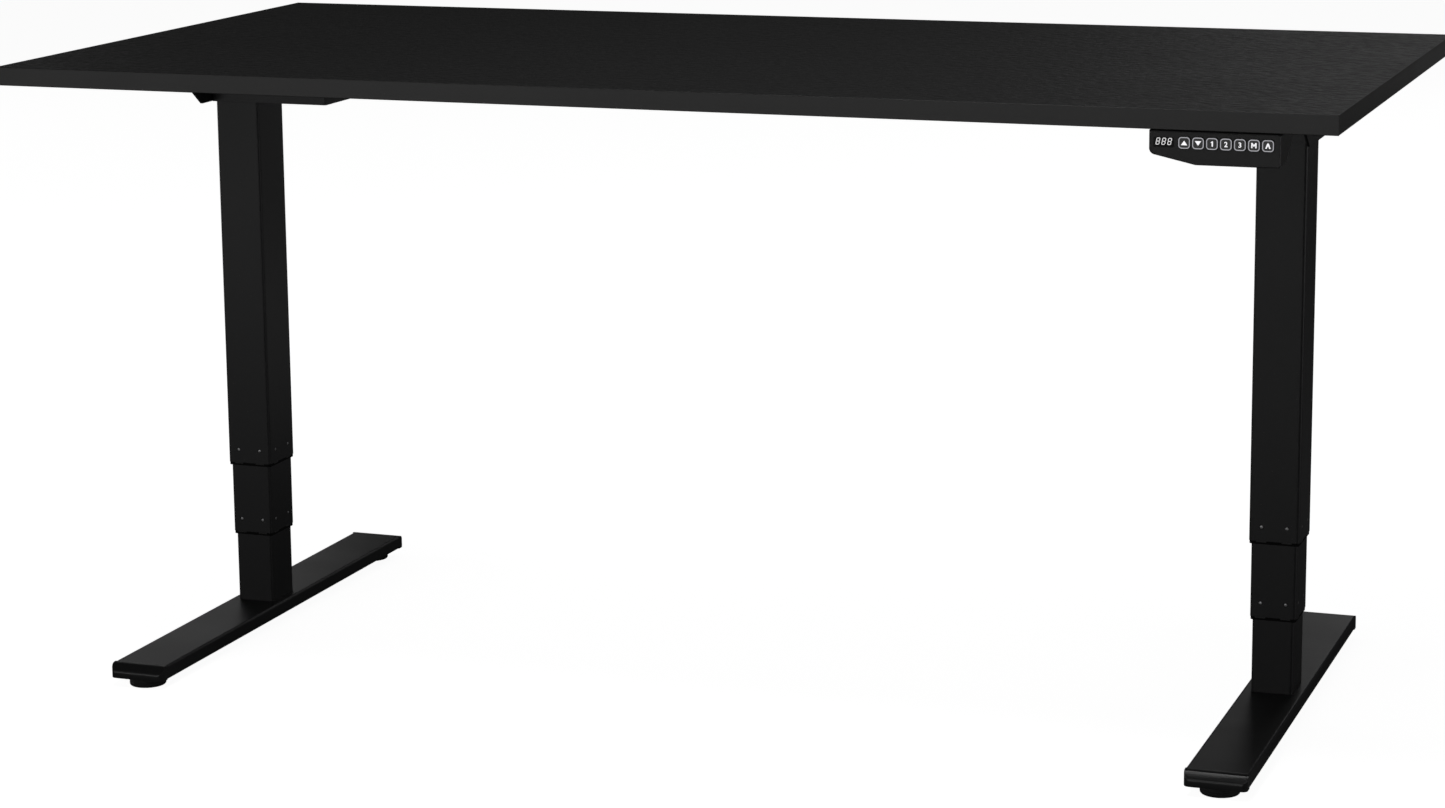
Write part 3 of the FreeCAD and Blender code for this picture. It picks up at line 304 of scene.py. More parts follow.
finish("handset_panel", grey(0.012), grey(0.016), rough=0.40, cell=0.0004, bump=0.000003,
       pebble=0.2, edge=0.0002, speck=0.2, smudge=0.08, specular=0.40)
finish("key", grey(0.008), grey(0.011), rough=0.26, cell=0.0004, bump=0.000002, edge=0.0002,
       speck=0.2, smudge=0.10)
finish("box_plastic", grey(0.014), grey(0.022), rough=0.52, cell=0.0006, bump=0.000020,
       pebble=0.8)
print("finishes so far:", sorted(FINISHES))

# %% [markdown]
# ## The display's window
#
# The window is a smoked plastic with a matt, anti-glare face: almost black, and so quiet that the
# digits stand alone. A polished one would mirror the pale card in front and turn grey.

# %% Display finish
finish("display", grey(0.0035), grey(0.0055), rough=0.44, cell=0.0030, bump=0.000001, edge=0.0002,
       speck=0.2, smudge=0.06, specular=0.22)

# %% [markdown]
# ## The board's laminate
#
# The board is faced with a black laminate whose press plate gave it a leathery skin: shallow
# cells a few millimetres across, drawn out along the board, with finer wrinkles on them. Two cell
# patterns of different size, both bent by a noise, give that. Light from behind grazes the top,
# so this relief is what breaks up its reflection.

# %% Laminate finish
tree, shader, place = finish("board", grey(0.0095), grey(0.0135), rough=0.48, cell=0.0012,
                             bump=0.00001, pebble=0.3, smudge=0.10, specular=0.35, speck=0.35)
CELLS_PER_METRE, DRAWN_OUT = 170.0, 0.55
BENDS_PER_METRE, BEND_REACH = 120.0, 0.006
WRINKLES_PER_METRE, WRINKLE_SHARE = 300.0, 0.6
SKIN_HEIGHT = 0.0014
SKIN_SMOOTHER, HOLLOW_ROUGHER = 0.14, 0.22      # the cells' tops shine, the hollows are matt
stretched = node(tree, "Mapping", {"Vector": place, "Scale": (DRAWN_OUT, 1.0, 1.0)})
bend = node(tree, "TexNoise", {"Vector": stretched.outputs[0],
                               "Scale": BENDS_PER_METRE, "Detail": 2.0})
bent = node(tree, "VectorMath", {0: bend.outputs["Color"], 1: (BEND_REACH,) * 3,
                                 2: stretched.outputs[0]}, operation="MULTIPLY_ADD")
skin = node(tree, "TexVoronoi", {"Vector": bent.outputs[0], "Scale": CELLS_PER_METRE,
                                 "Smoothness": 0.8}, feature="SMOOTH_F1")
wrinkles = node(tree, "TexNoise", {"Vector": bent.outputs[0],
                                   "Scale": WRINKLES_PER_METRE, "Detail": 3.0,
                                   "Roughness": 0.6})
relief = sums(tree, "MULTIPLY_ADD", wrinkles.outputs["Fac"], WRINKLE_SHARE,
              skin.outputs["Distance"])
pressed = node(tree, "Bump", {"Height": relief, "Strength": 1.0,
                              "Distance": SKIN_HEIGHT,
                              "Normal": shader.inputs["Normal"].links[0].from_socket})
tree.links.new(pressed.outputs[0], shader.inputs["Normal"])
even = shader.inputs["Roughness"].links[0].from_socket
smooth_tops = sums(tree, "SUBTRACT", even, SKIN_SMOOTHER)
tree.links.new(sums(tree, "MULTIPLY_ADD", relief, HOLLOW_ROUGHER, smooth_tops),
               shader.inputs["Roughness"])
print("laminate: cells of about", round(1000 / CELLS_PER_METRE, 1), "mm")

# %% [markdown]
# ## Threads on the lifting screws
#
# The lifting screws are ground steel with a rolled thread. Inside the tubes nobody sees more than
# a glimpse of it, so the thread is a bump: a wave whose phase follows the angle round the screw
# and the height along it. The angle comes from the place about the nearer column's middle.

# %% Screw finish
tree, shader, place = finish("screw_steel", (0.30, 0.30, 0.31), (0.46, 0.46, 0.47), rough=0.24,
                             cell=0.0015, bump=0.000004, worn=(0.62, 0.62, 0.63), metal=1.0,
                             smudge=0.18)
COLUMN_X = sum(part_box("right_outer_tube")[i].x for i in (0, 1)) / 2
SCREW_LEAD, THREAD_HEIGHT = 6 * MM, 0.6 * MM
axis_place = node(tree, "SeparateXYZ", {0: place})
side = sums(tree, "SIGN", axis_place.outputs["X"])
own_axis = sums(tree, "MULTIPLY", side, COLUMN_X)
from_axis = sums(tree, "SUBTRACT", axis_place.outputs["X"], own_axis)
angle = sums(tree, "ARCTAN2", axis_place.outputs["Y"], from_axis)
rise = sums(tree, "MULTIPLY", axis_place.outputs["Z"], 2 * math.pi / SCREW_LEAD)
thread = sums(tree, "SINE", sums(tree, "SUBTRACT", rise, angle))
rolled = node(tree, "Bump", {"Height": thread, "Strength": 1.0,
                             "Distance": THREAD_HEIGHT,
                             "Normal": shader.inputs["Normal"].links[0].from_socket})
tree.links.new(rolled.outputs[0], shader.inputs["Normal"])
print("column middle at x =", round(COLUMN_X, 4))

# %% [markdown]
# ## The handset's circuit board
#
# The circuit is glass-fibre board under green solder resist, with copper tracks that show through
# it as lighter lines. A brick pattern with wide joints gives runs of straight tracks.

# %% Circuit finish
tree, shader, place = finish("circuit", (0.006, 0.050, 0.018), (0.010, 0.075, 0.028), rough=0.30,
                             cell=0.0008, bump=0.000004, coat=0.3)
TRACK_COLOR = (0.03, 0.17, 0.07, 1.0)
upright = node(tree, "Mapping", {"Vector": place, "Rotation": (math.pi / 2, 0.0, 0.0)})
tracks = node(tree, "TexBrick", {"Vector": upright.outputs[0], "Scale": 260.0,
                                 "Mortar Size": 0.06, "Color1": (0, 0, 0, 1),
                                 "Color2": (0, 0, 0, 1), "Mortar": (1, 1, 1, 1)})
below = shader.inputs["Base Color"].links[0].from_socket
copper = blend_colors(tree, tracks.outputs["Color"], below, TRACK_COLOR)
tree.links.new(copper, shader.inputs["Base Color"])

# %% [markdown]
# ## Printing inks and the lit digits
#
# The signs on the keys are white ink, and the rings around them are grey ink. Both get a faint
# painted glow that keeps the print bright. The lit digits of the display glow about as much.


# %% Inks
INK_THIN, GLOW_THIN = 0.86, 0.82      # colour and glow where the ink lies thin


def ink(name, color, glow):
    """A printed finish of this colour that glows with this strength."""
    tree, shader, place = finish(name, [INK_THIN * c for c in color], color, rough=0.45,
                                 cell=0.0003, bump=0.000002, edge=0.00005, worn=color,
                                 wear_amount=0.0, speck=0.0, smudge=0.05)
    uneven = node(tree, "TexNoise", {"Vector": place, "Scale": 2500.0, "Detail": 2.0})
    dim = [GLOW_THIN * c for c in color]
    lit = blend_colors(tree, uneven.outputs["Fac"], (*dim, 1.0), (*color, 1.0))
    # on the key signs and rings this glow is painted light; on the digits it is the display's own
    # light
    tree.links.new(lit, shader.inputs["Emission Color"])
    shader.inputs["Emission Strength"].default_value = glow


# the glow of the key signs and rings is painted light
ink("sign_ink_painted_glow", (0.90, 0.90, 0.92), 1.0)
ink("ring_ink_painted_glow", (0.45, 0.45, 0.48), 0.70)
ink("digit_light", grey(0.76), 0.95)

# %% [markdown]
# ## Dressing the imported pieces
#
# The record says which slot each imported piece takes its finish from, and the finishes have the
# slots' names. So one loop dresses them all, and says so if a piece is left bare.

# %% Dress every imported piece
slot_of = {row["node"]: row["material_slot"] for row in frame["record"]["subparts"]}
for name, piece in nodes.items():
    if not piece.material_slots:
        piece.data.materials.append(None)
    for slot in piece.material_slots:
        slot.material = FINISHES[slot_of[name]]
print("dressed:", len(nodes), "unused finishes:", sorted(set(FINISHES) - set(slot_of.values())))

# %% [markdown]
# ## Modelling by hand, in code
#
# The new pieces start as primitives and are shaped in edit mode. Without a mouse, faces and edges
# are picked by a test on their place or normal. An operator works on all that is selected, so
# each helper first clears the selection.


# %% Modelling helpers
def mode(name):
    bpy.ops.object.mode_set(mode=name)


def deselect():
    bpy.ops.object.select_all(action="DESELECT")


def only(piece):
    """Selects this piece and nothing else."""
    deselect()
    piece.select_set(True)
    bpy.context.view_layer.objects.active = piece


def pick(piece, kind, test):
    """Leaves edit mode on, with only what passes a test of its middle and direction selected."""
    mode("EDIT")
    bpy.ops.mesh.select_mode(type=kind)
    bpy.ops.mesh.select_all(action="DESELECT")
    mode("OBJECT")
    mesh = piece.data
    if kind == "FACE":
        for part in mesh.polygons:
            part.select = test(part.center, part.normal)
    elif kind == "EDGE":
        for part in mesh.edges:
            start, end = [mesh.vertices[i].co for i in part.vertices]
            part.select = test((start + end) / 2, (end - start).normalized())
    else:
        for part in mesh.vertices:
            part.select = test(part.co, part.normal)
    mode("EDIT")


def pick_all():
    bpy.ops.mesh.select_all(action="SELECT")


def extrude(x, y, z):
    bpy.ops.mesh.extrude_region_move(TRANSFORM_OT_translate={"value": (x, y, z)})


def faces_out():
    """Turns every face of the piece in edit mode outwards, and ends edit mode."""
    pick_all()
    bpy.ops.mesh.normals_make_consistent(inside=False)
    mode("OBJECT")


def done(piece, name, body, slot, material=None, smooth=30.0, replaces=()):
    """Puts the place into the mesh, smooths, names and dresses the piece, and lets it ride.

    The material is the slot's own, if no other is named."""
    only(piece)
    bpy.ops.object.transform_apply()
    bpy.ops.object.shade_smooth_by_angle(angle=math.radians(smooth))
    piece.name = name
    piece.data.name = name
    piece.data.materials.clear()
    piece.data.materials.append(FINISHES[material or slot])
    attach(piece, body)
    if replaces:
        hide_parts(*replaces)
    return piece


def copied(master, place, turn=None):
    """A copy with its own mesh, turned and then moved, with its place in its mesh."""
    copy = master.copy()
    copy.data = master.data.copy()
    bpy.context.scene.collection.objects.link(copy)
    copy.data.transform(Matrix.Translation(place) @ (turn or Matrix.Identity(4)))
    return copy


def joined(pieces):
    """Makes the pieces one object."""
    only(pieces[0])
    for piece in pieces[1:]:
        piece.select_set(True)
    bpy.ops.object.join()
    return bpy.context.object


def drawn(points):
    """Extrudes one vertex from point to point, and leaves edit mode on."""
    deselect()
    bpy.ops.mesh.primitive_plane_add(size=0.001)
    piece = bpy.context.object
    mode("EDIT")
    bpy.ops.mesh.select_mode(type="VERT")
    pick_all()
    bpy.ops.mesh.merge(type="CENTER")
    bpy.ops.transform.translate(value=points[0])
    for here, there in zip(points, points[1:]):
        extrude(*[b - a for a, b in zip(here, there)])
    return piece


MERGE_REACH = 0.002 * MM      # vertices closer than this are one


def turned(profile, steps):
    """Spins a profile of (radius, height) points, which starts and ends on the axis, about Z."""
    piece = drawn([(radius, 0, height) for radius, height in profile])
    pick_all()
    bpy.ops.mesh.spin(steps=steps, angle=2 * math.pi, center=(0, 0, 0), axis=(0, 0, 1))
    pick_all()
    bpy.ops.mesh.remove_doubles(threshold=MERGE_REACH)
    faces_out()
    return piece


QUARTER = math.pi / 2
FACING = {  # turns +Z to face this way
    "-Y": Matrix.Rotation(QUARTER, 4, "X"), "+Y": Matrix.Rotation(-QUARTER, 4, "X"),
    "+X": Matrix.Rotation(QUARTER, 4, "Y"), "-X": Matrix.Rotation(-QUARTER, 4, "Y"),
    "-Z": Matrix.Rotation(math.pi, 4, "X")}
SIDES = (("left", -COLUMN_X), ("right", COLUMN_X))

# %% [markdown]
# ## Foot caps
#
# Each foot is a flat tube whose ends are closed by moulded caps. The top of a cap rolls over into
# a slope, which ends in a soft crest above a low upright nose. The corners are round in plan, and
# a plug holds the cap in the tube. The roll and the crest catch long bright lines of light, so
# their rounds have to be real.
#
# The cap starts as a cube of its outer size. A bisect marks where the top ends, the upper front
# edge goes down to make the slope, and bevels make the rounds, the largest first.

# %% Foot caps
beam_low, beam_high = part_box("left_foot_beam")
CAP_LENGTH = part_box("foot_caps")[1].y - beam_high.y
CAP_WIDTH = beam_high.x - beam_low.x
CAP_HEIGHT = beam_high.z - beam_low.z
NOSE_HEIGHT, NOSE_CORNER = 8.6 * MM, 6.5 * MM
TOP_END, TOP_ROLL = 6.0 * MM, 5.6 * MM
CREST_ROUND, TREAD_ROUND = 2.2 * MM, 0.7 * MM
PLUG_INSET, PLUG_LENGTH = 2.2 * MM, 10 * MM
GAP = 0.25 * MM              # between the cap and the end of the tube


def foot_cap():
    """A cap whose rear face is at y = 0 and whose nose points to +Y, standing on z = 0."""
    deselect()
    bpy.ops.mesh.primitive_cube_add(size=1.0, location=(0, CAP_LENGTH / 2, CAP_HEIGHT / 2))
    cap = bpy.context.object
    cap.scale = (CAP_WIDTH, CAP_LENGTH - GAP, CAP_HEIGHT)
    bpy.ops.object.transform_apply()
    nose = CAP_LENGTH * 0.8
    pick(cap, "FACE", lambda c, n: True)
    bpy.ops.mesh.bisect(plane_co=(0, TOP_END, 0), plane_no=(0, 1, 0))
    pick(cap, "EDGE", lambda c, d: c.y > nose and c.z > CAP_HEIGHT * 0.8)
    bpy.ops.transform.translate(value=(0, 0, NOSE_HEIGHT - CAP_HEIGHT))

    def rounded(test, offset, segments):
        pick(cap, "EDGE", test)
        bpy.ops.mesh.bevel(offset=offset, segments=segments, affect="EDGES")

    rounded(lambda c, d: abs(d.z) > 0.9 and c.y > nose, NOSE_CORNER, 7)
    rounded(lambda c, d: (abs(d.x) > 0.9 and abs(c.y - TOP_END) < 0.1 * MM
                          and c.z > CAP_HEIGHT * 0.9), TOP_ROLL, 6)
    rounded(lambda c, d: (abs(d.x) > 0.9 and c.y > CAP_LENGTH * 0.9
                          and c.z > NOSE_HEIGHT * 0.9), CREST_ROUND, 6)
    rounded(lambda c, d: c.z < 0.05 * MM and c.y > 0.5 * MM, TREAD_ROUND, 3)
    pick(cap, "FACE", lambda c, n: n.y < -0.9)
    bpy.ops.mesh.inset(thickness=PLUG_INSET)
    extrude(0, -PLUG_LENGTH, 0)
    faces_out()
    return cap


master = foot_cap()
for side_name, x in SIDES:
    for end_name, end in (("front", -1), ("rear", 1)):
        flip = Matrix.Rotation(0.0 if end > 0 else math.pi, 4, "Z")
        cap = copied(master, (x, end * (beam_high.y + GAP / 2), beam_low.z), flip)
        done(cap, f"{side_name}_{end_name}_foot_cap", "base", "cap_plastic",
             replaces=["foot_caps"])
print("foot cap faces:", len(master.data.polygons))
bpy.data.objects.remove(master)

# %% [markdown]
# ## Levelling pads
#
# A pad is a turned or moulded puck: a rounded tread, a shallow finger groove round its side, and
# a pocket in its top that the stud's ball end snaps into. All of that is one profile, so it is
# spun about its axis.

# %% Levelling pads
pad_low, pad_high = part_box("left_front_leveller_pad")
PAD_R, PAD_H = (pad_high.x - pad_low.x) / 2, pad_high.z - pad_low.z
r, h = PAD_R / MM, PAD_H / MM      # the profile is in millimetres
NECK_R, POCKET_R = 4.3, 7.6
tread = [(0.0, 0.3), (r - 7, 0.3), (r - 6, 0.0), (r - 2.2, 0.0), (r - 1.0, 0.3), (r - 0.3, 1.0)]
grooved_side = [(r, 2.2), (r, 4.4), (r - 0.5, 4.8), (r - 0.5, 5.6), (r, 6.0), (r, h - 1.8)]
shoulder = [(r - 0.4, h - 0.8), (r - 1.4, h - 0.1), (r - 2.4, h), (NECK_R + 1.0, h)]
pocket = [(NECK_R, h - 0.6), (NECK_R, 7.4), (POCKET_R, 7.0), (POCKET_R, 3.2), (0.0, 3.0)]
pad_profile = [(radius * MM, height * MM)
               for radius, height in tread + grooved_side + shoulder + pocket]


def at_foot_ends(master, part, kind, slot, material=None):
    """Copies a pad or stud to the four ends of the feet, to ride with its own leveller."""
    for side_name, x in SIDES:
        for end_name in ("front", "rear"):
            where = f"{side_name}_{end_name}"
            low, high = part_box(f"{where}_leveller_{part}")
            copy = copied(master, (x, (low.y + high.y) / 2, low.z))
            done(copy, f"{where}_{kind}", f"{where}_{part}", slot, material,
                 replaces=[f"{where}_leveller_{part}"])
    print(kind, "faces:", len(master.data.polygons))
    bpy.data.objects.remove(master)


at_foot_ends(turned(pad_profile, 72), "pad", "pad_moulding", "pad_rubber")

# %% [markdown]
# ## Levelling studs
#
# A stud is an M8 thread with a flange at its foot. It shows only when the desk is levelled up,
# but then its thread turns in the light. The Screw modifier winds one tooth of thread up the
# stud, and a plain turned core closes it.

# %% Levelling studs
stud_low, stud_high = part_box("left_front_leveller_stud")
STUD_H = stud_high.z - stud_low.z
STUD_R, ROOT_R, PITCH_M8 = 3.9 * MM, 3.3 * MM, 1.25 * MM
FLANGE_R, FLANGE_H = 7.2 * MM, 3.6 * MM


def threaded_stud():
    """A turned core and flange, with one tooth of thread wound up it."""
    core = turned([(0, 0), (FLANGE_R - 0.6 * MM, 0), (FLANGE_R, 0.6 * MM),
                   (FLANGE_R, FLANGE_H - 0.8 * MM), (FLANGE_R - 1.2 * MM, FLANGE_H),
                   (ROOT_R, FLANGE_H), (ROOT_R, STUD_H - 0.5 * MM),
                   (ROOT_R - 0.5 * MM, STUD_H), (0, STUD_H)], 32)
    start = FLANGE_H + 0.6 * MM
    inside = ROOT_R - 0.1 * MM      # the tooth begins inside the core
    flank = 0.45 * PITCH_M8
    tooth = drawn([(inside, 0, start), (STUD_R, 0, start + flank),
                   (STUD_R, 0, start + PITCH_M8 - flank), (inside, 0, start + PITCH_M8)])
    mode("OBJECT")
    wound = tooth.modifiers.new("thread", "SCREW")
    wound.axis = "Z"
    wound.screw_offset = PITCH_M8
    wound.iterations = int((STUD_H - start - PITCH_M8) / PITCH_M8)
    wound.steps = wound.render_steps = 24
    wound.use_merge_vertices = True
    only(tooth)
    bpy.ops.object.modifier_apply(modifier="thread")
    mode("EDIT")
    pick_all()
    bpy.ops.mesh.remove_doubles(threshold=MERGE_REACH)
    bpy.ops.mesh.select_all(action="DESELECT")
    bpy.ops.mesh.select_mode(type="EDGE")
    bpy.ops.mesh.select_non_manifold()
    bpy.ops.mesh.edge_face_add()
    faces_out()
    return joined([core, tooth])


at_foot_ends(threaded_stud(), "stud", "threaded_stud", "screw_steel", "fastener_steel")

# %% [markdown]
# ## Glide pins
#
# The plastic glides inside the tubes are held by pins that fill holes in the wall. From outside
# each pin is a small domed dot with a dark ring round it, two on every face, just above the lower
# end of a tube. One dome is turned and then copied round each tube.

# %% Glide pins
PIN_R, PIN_DOME, PIN_DEPTH = 1.95 * MM, 0.36 * MM, 1.2 * MM
PIN_ABOVE_EDGE, PIN_X, PIN_Y = 17 * MM, 15 * MM, 17.5 * MM
DOME_STEPS = 6
dome = [(0.0, -PIN_DEPTH), (PIN_R, -PIN_DEPTH), (PIN_R, -PIN_DOME)]
for step in range(1, DOME_STEPS + 1):
    swing = step / DOME_STEPS * QUARTER
    dome.append((PIN_R * math.cos(swing), -PIN_DOME + PIN_DOME * math.sin(swing)))
dome[-1] = (0.0, 0.0)
master = turned(dome, 20)
for side_name, x in SIDES:
    for tube, body in (("outer", "upper"), ("middle", f"{side_name}_middle")):
        low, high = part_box(f"{side_name}_{tube}_tube")
        z = low.z + PIN_ABOVE_EDGE
        pins = []
        for sign, face_x, face_y in (("-", low.x, -high.y), ("+", high.x, high.y)):
            for along in (-1, 1):
                pins.append(copied(master, (x + along * PIN_X, face_y, z), FACING[sign + "Y"]))
                pins.append(copied(master, (face_x, along * PIN_Y, z), FACING[sign + "X"]))
        done(joined(pins), f"{side_name}_{tube}_glide_pins", body, "glide_plastic", "pin_end",
             smooth=60)
bpy.data.objects.remove(master)
print("glide pins: 8 on each of 4 tubes")

# %% [markdown]
# ## Painted shade rims
#
# Under the lower end of a wide stage, shade falls into the gap round the next stage. A rim of
# near-black, matt plastic is put there and set back a little, so it paints that shade as a dark
# line between the stages. A plane with rounded corners is inset, the inner face is deleted and the
# frame that is left is extruded downwards.

# %% Painted shade rims
# a near-black, matt finish whose only job is to paint the shade in the gap between two stages
finish("painted_shade_black", grey(0.0030), grey(0.0050), rough=0.70, cell=0.0008, bump=0.000008,
       pebble=0.4, specular=0.12, speck=0.1)
RIM_HEIGHT, RIM_SET_BACK, RIM_CLEAR = 3.6 * MM, 0.5 * MM, 0.15 * MM
TUBE_CORNER = 4.0 * MM


def painted_shade_rim(low, high, inner_high):
    """A dark rim that paints the shade below the tube with the box low to high, round one whose
    high corner is inner_high.
    """
    wide, deep = [high[i] - low[i] - 2 * RIM_SET_BACK for i in (0, 1)]
    middle = ((low.x + high.x) / 2, (low.y + high.y) / 2, low.z)
    deselect()
    bpy.ops.mesh.primitive_plane_add(size=1.0, location=middle)
    rim = bpy.context.object
    rim.scale = (wide, deep, 1.0)
    bpy.ops.object.transform_apply(location=False)
    pick(rim, "VERT", lambda c, n: True)
    bpy.ops.mesh.bevel(offset=TUBE_CORNER - RIM_SET_BACK, segments=6, affect="VERTICES")
    pick(rim, "FACE", lambda c, n: True)
    bpy.ops.mesh.inset(thickness=high.x - inner_high.x - RIM_SET_BACK - RIM_CLEAR)
    bpy.ops.mesh.delete(type="FACE")
    pick(rim, "FACE", lambda c, n: True)
    extrude(0, 0, -RIM_HEIGHT)
    faces_out()
    return rim


for side_name in ("left", "right"):
    for tube, inner, body in (("outer", "middle", "upper"),
                              ("middle", "inner", f"{side_name}_middle")):
        low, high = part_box(f"{side_name}_{tube}_tube")
        rim = painted_shade_rim(low, high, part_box(f"{side_name}_{inner}_tube")[1])
        done(rim, f"{side_name}_{tube}_painted_shade_rim", body, "glide_plastic", "painted_shade_black")
        print(rim.name, "faces:", len(rim.data.polygons))

# %% [markdown]
# ## Bolts and screws
#
# Button-head bolts with a hexagon socket hold the rails and the arms to the column heads.
# Pan-head screws with a cross recess hold everything to the board. Both heads are turned, and a
# Boolean cuts the recess with a tapered tool, as the forging punch does.


# %% Bolts and screws
def cut(piece, tool):
    """Cuts the tool out of the piece, and removes the tool."""
    only(piece)
    boolean = piece.modifiers.new("recess", "BOOLEAN")
    boolean.object = tool
    boolean.operation = "DIFFERENCE"
    boolean.solver = "EXACT"
    bpy.ops.object.modifier_apply(modifier="recess")
    bpy.data.objects.remove(tool)
    return piece


CROWN = 0.42       # the flat middle's share of a head's radius


def headed(head_r, head_h, shank_r, shank_l, dome_share):
    """A head whose seat is at z = 0 with its dome up, and a shank below it."""
    side_h = head_h * (1 - dome_share)
    profile = [(0, -shank_l), (shank_r - 0.5 * MM, -shank_l), (shank_r, -shank_l + 0.7 * MM),
               (shank_r, 0), (head_r - 0.2 * MM, 0), (head_r, 0.2 * MM), (head_r, side_h)]
    for step in range(1, DOME_STEPS):
        swing = step / DOME_STEPS * QUARTER
        profile.append((head_r * (CROWN + (1 - CROWN) * math.cos(swing)),
                        side_h + head_h * dome_share * math.sin(swing)))
    profile += [(head_r * CROWN, head_h), (0, head_h)]
    return turned(profile, 32)


HEX_R, HEX_LENGTH, HEX_MIDDLE = 2.3 * MM, 4 * MM, 3.5 * MM
bolt = headed(5.5 * MM, 3.3 * MM, 3.0 * MM, 10 * MM, 0.75)
bpy.ops.mesh.primitive_cylinder_add(vertices=6, radius=HEX_R, depth=HEX_LENGTH,
                                    location=(0, 0, HEX_MIDDLE))
bolt = cut(bolt, bpy.context.object)

CROSS_LONG, CROSS_THICK, CROSS_DEEP = 5.4 * MM, 1.1 * MM, 2.6 * MM
SCREW_HEAD_H = 2.6 * MM
screw = headed(5.0 * MM, SCREW_HEAD_H, 2.3 * MM, 16 * MM, 0.7)
bpy.ops.mesh.primitive_cube_add(size=1.0, location=(0, 0, SCREW_HEAD_H))
blade = bpy.context.object
blade.scale = (CROSS_LONG, CROSS_THICK, CROSS_DEEP)
bpy.ops.object.transform_apply(location=False)
pick(blade, "FACE", lambda c, n: n.z < -0.9)
bpy.ops.transform.resize(value=(0.35, 0.7, 1.0))      # the cross tapers downwards
mode("OBJECT")
only(blade)
bpy.ops.object.transform_apply()
crossed = copied(blade, (0, 0, 0), Matrix.Rotation(QUARTER, 4, "Z"))
screw = cut(cut(screw, blade), crossed)
print("bolt faces:", len(bolt.data.polygons), "screw faces:", len(screw.data.polygons))

# %% [markdown]
# ## Where the bolts and screws go
#
# Bolts go through the rails into the heads' sides, and through the arms' webs into the heads'
# ends. Screws go up through the arms, the handset's tab and the control box's ears. The rail, the
# head, the board and the box say where these are, and the distances from them are the drilling
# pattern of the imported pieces.

# %% Place the bolts and screws
rail_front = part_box("front_rail")[0].y
head_low, head_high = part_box("right_column_head")
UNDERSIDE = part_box("desktop_board")[0].z
box_low, box_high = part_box("control_box_case")
RAIL_BOLT_X, RAIL_BOLT_DROP = (-18 * MM, 100 * MM), (11 * MM, 27 * MM)
ARM_BOLT_Y, ARM_BOLT_EDGE = 22 * MM, 14 * MM
HANDSET_MIDDLE, TAB_SCREW_X, TAB_SCREW_Y = 669.25 * MM, 30 * MM, -325 * MM
ARM_SCREW_X, ARM_SCREW_Y, PLATE = 729 * MM, (54 * MM, 162 * MM, 270 * MM), 3 * MM
EAR = 14 * MM                # length of the control box's ears, with the screw in the middle
bolts = []
for side_sign in (-1, 1):
    for along in RAIL_BOLT_X:
        for drop in RAIL_BOLT_DROP:
            for face, facing in ((rail_front, "-Y"), (-rail_front, "+Y")):
                place = (side_sign * (COLUMN_X - along), face, UNDERSIDE - drop)
                bolts.append(copied(bolt, place, FACING[facing]))
    web_x = side_sign * (head_high.x + PLATE)
    outwards = FACING["+X" if side_sign > 0 else "-X"]
    for y in (-ARM_BOLT_Y, ARM_BOLT_Y):
        for z in (head_low.z + ARM_BOLT_EDGE, UNDERSIDE - ARM_BOLT_EDGE):
            bolts.append(copied(bolt, (web_x, y, z), outwards))
count = len(bolts)
done(joined(bolts), "button_head_bolts", "upper", "fastener_steel", replaces=["frame_bolts"])

places = [(sx * ARM_SCREW_X, sy * y) for sx in (-1, 1) for sy in (-1, 1) for y in ARM_SCREW_Y]
places += [(HANDSET_MIDDLE + s * TAB_SCREW_X, TAB_SCREW_Y) for s in (-1, 1)]
places += [(x, y) for x in (box_low.x - EAR / 2, box_high.x + EAR / 2)
           for y in (box_low.y + EAR, box_high.y - EAR)]
screws = [copied(screw, (x, y, UNDERSIDE - PLATE), FACING["-Z"]) for x, y in places]
done(joined(screws), "pan_head_screws", "upper", "fastener_steel", replaces=["desktop_screws"])
for master in (bolt, screw):
    bpy.data.objects.remove(master)
print("bolts:", count, "screws:", len(places))

# %% [markdown]
# ## Rings and signs on the keys
#
# Every key has a printed rounded square with a sign in it: up, down, the three stored heights,
# memory, and a small roof for the alarm. A print has almost no thickness, but it has some, so
# each is a sheet a few hundredths of a millimetre thick on the face of its key, and it moves with
# the key.
#
# A ring is a plane with bevelled corners and an inset whose middle is removed.

# %% Key rings
RING, RING_CORNER, RING_LINE, INK = 12.3 * MM, 3.5 * MM, 1.0 * MM, 0.05 * MM
KEYS = ["key_up", "key_down", "key_1", "key_2", "key_3", "key_memory", "key_alarm"]
deselect()
bpy.ops.mesh.primitive_plane_add(size=RING)
ring = bpy.context.object
mode("EDIT")
bpy.ops.mesh.select_mode(type="VERT")
pick_all()
bpy.ops.mesh.bevel(affect="VERTICES", offset=RING_CORNER, segments=8)
bpy.ops.mesh.select_mode(type="FACE")
pick_all()
bpy.ops.mesh.inset(thickness=RING_LINE)
bpy.ops.mesh.delete(type="FACE")
pick_all()
extrude(0, 0, INK)
faces_out()


def on_key(piece, key, kind, material):
    """Puts a flat piece that faces +Z on the front of a key, and lets it ride with the key."""
    low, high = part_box(key)
    middle = Vector(((low.x + high.x) / 2, low.y, (low.z + high.z) / 2))
    sign = copied(piece, middle, FACING["-Y"])
    return done(sign, f"{key}_{kind}", key, "key", material, smooth=20)


for key in KEYS:
    on_key(ring, key, "ring", "ring_ink_painted_glow")
bpy.data.objects.remove(ring)
print("rings:", len(KEYS))

# %% [markdown]
# ## The signs
#
# The arrows are circles of three points. The 1, the M and the roof are drawn corner by corner,
# because their bars are thicker than a plain font's, and the round 2 and 3 are text made a mesh.
# Each flat sign is then centred and gets the thickness of ink.


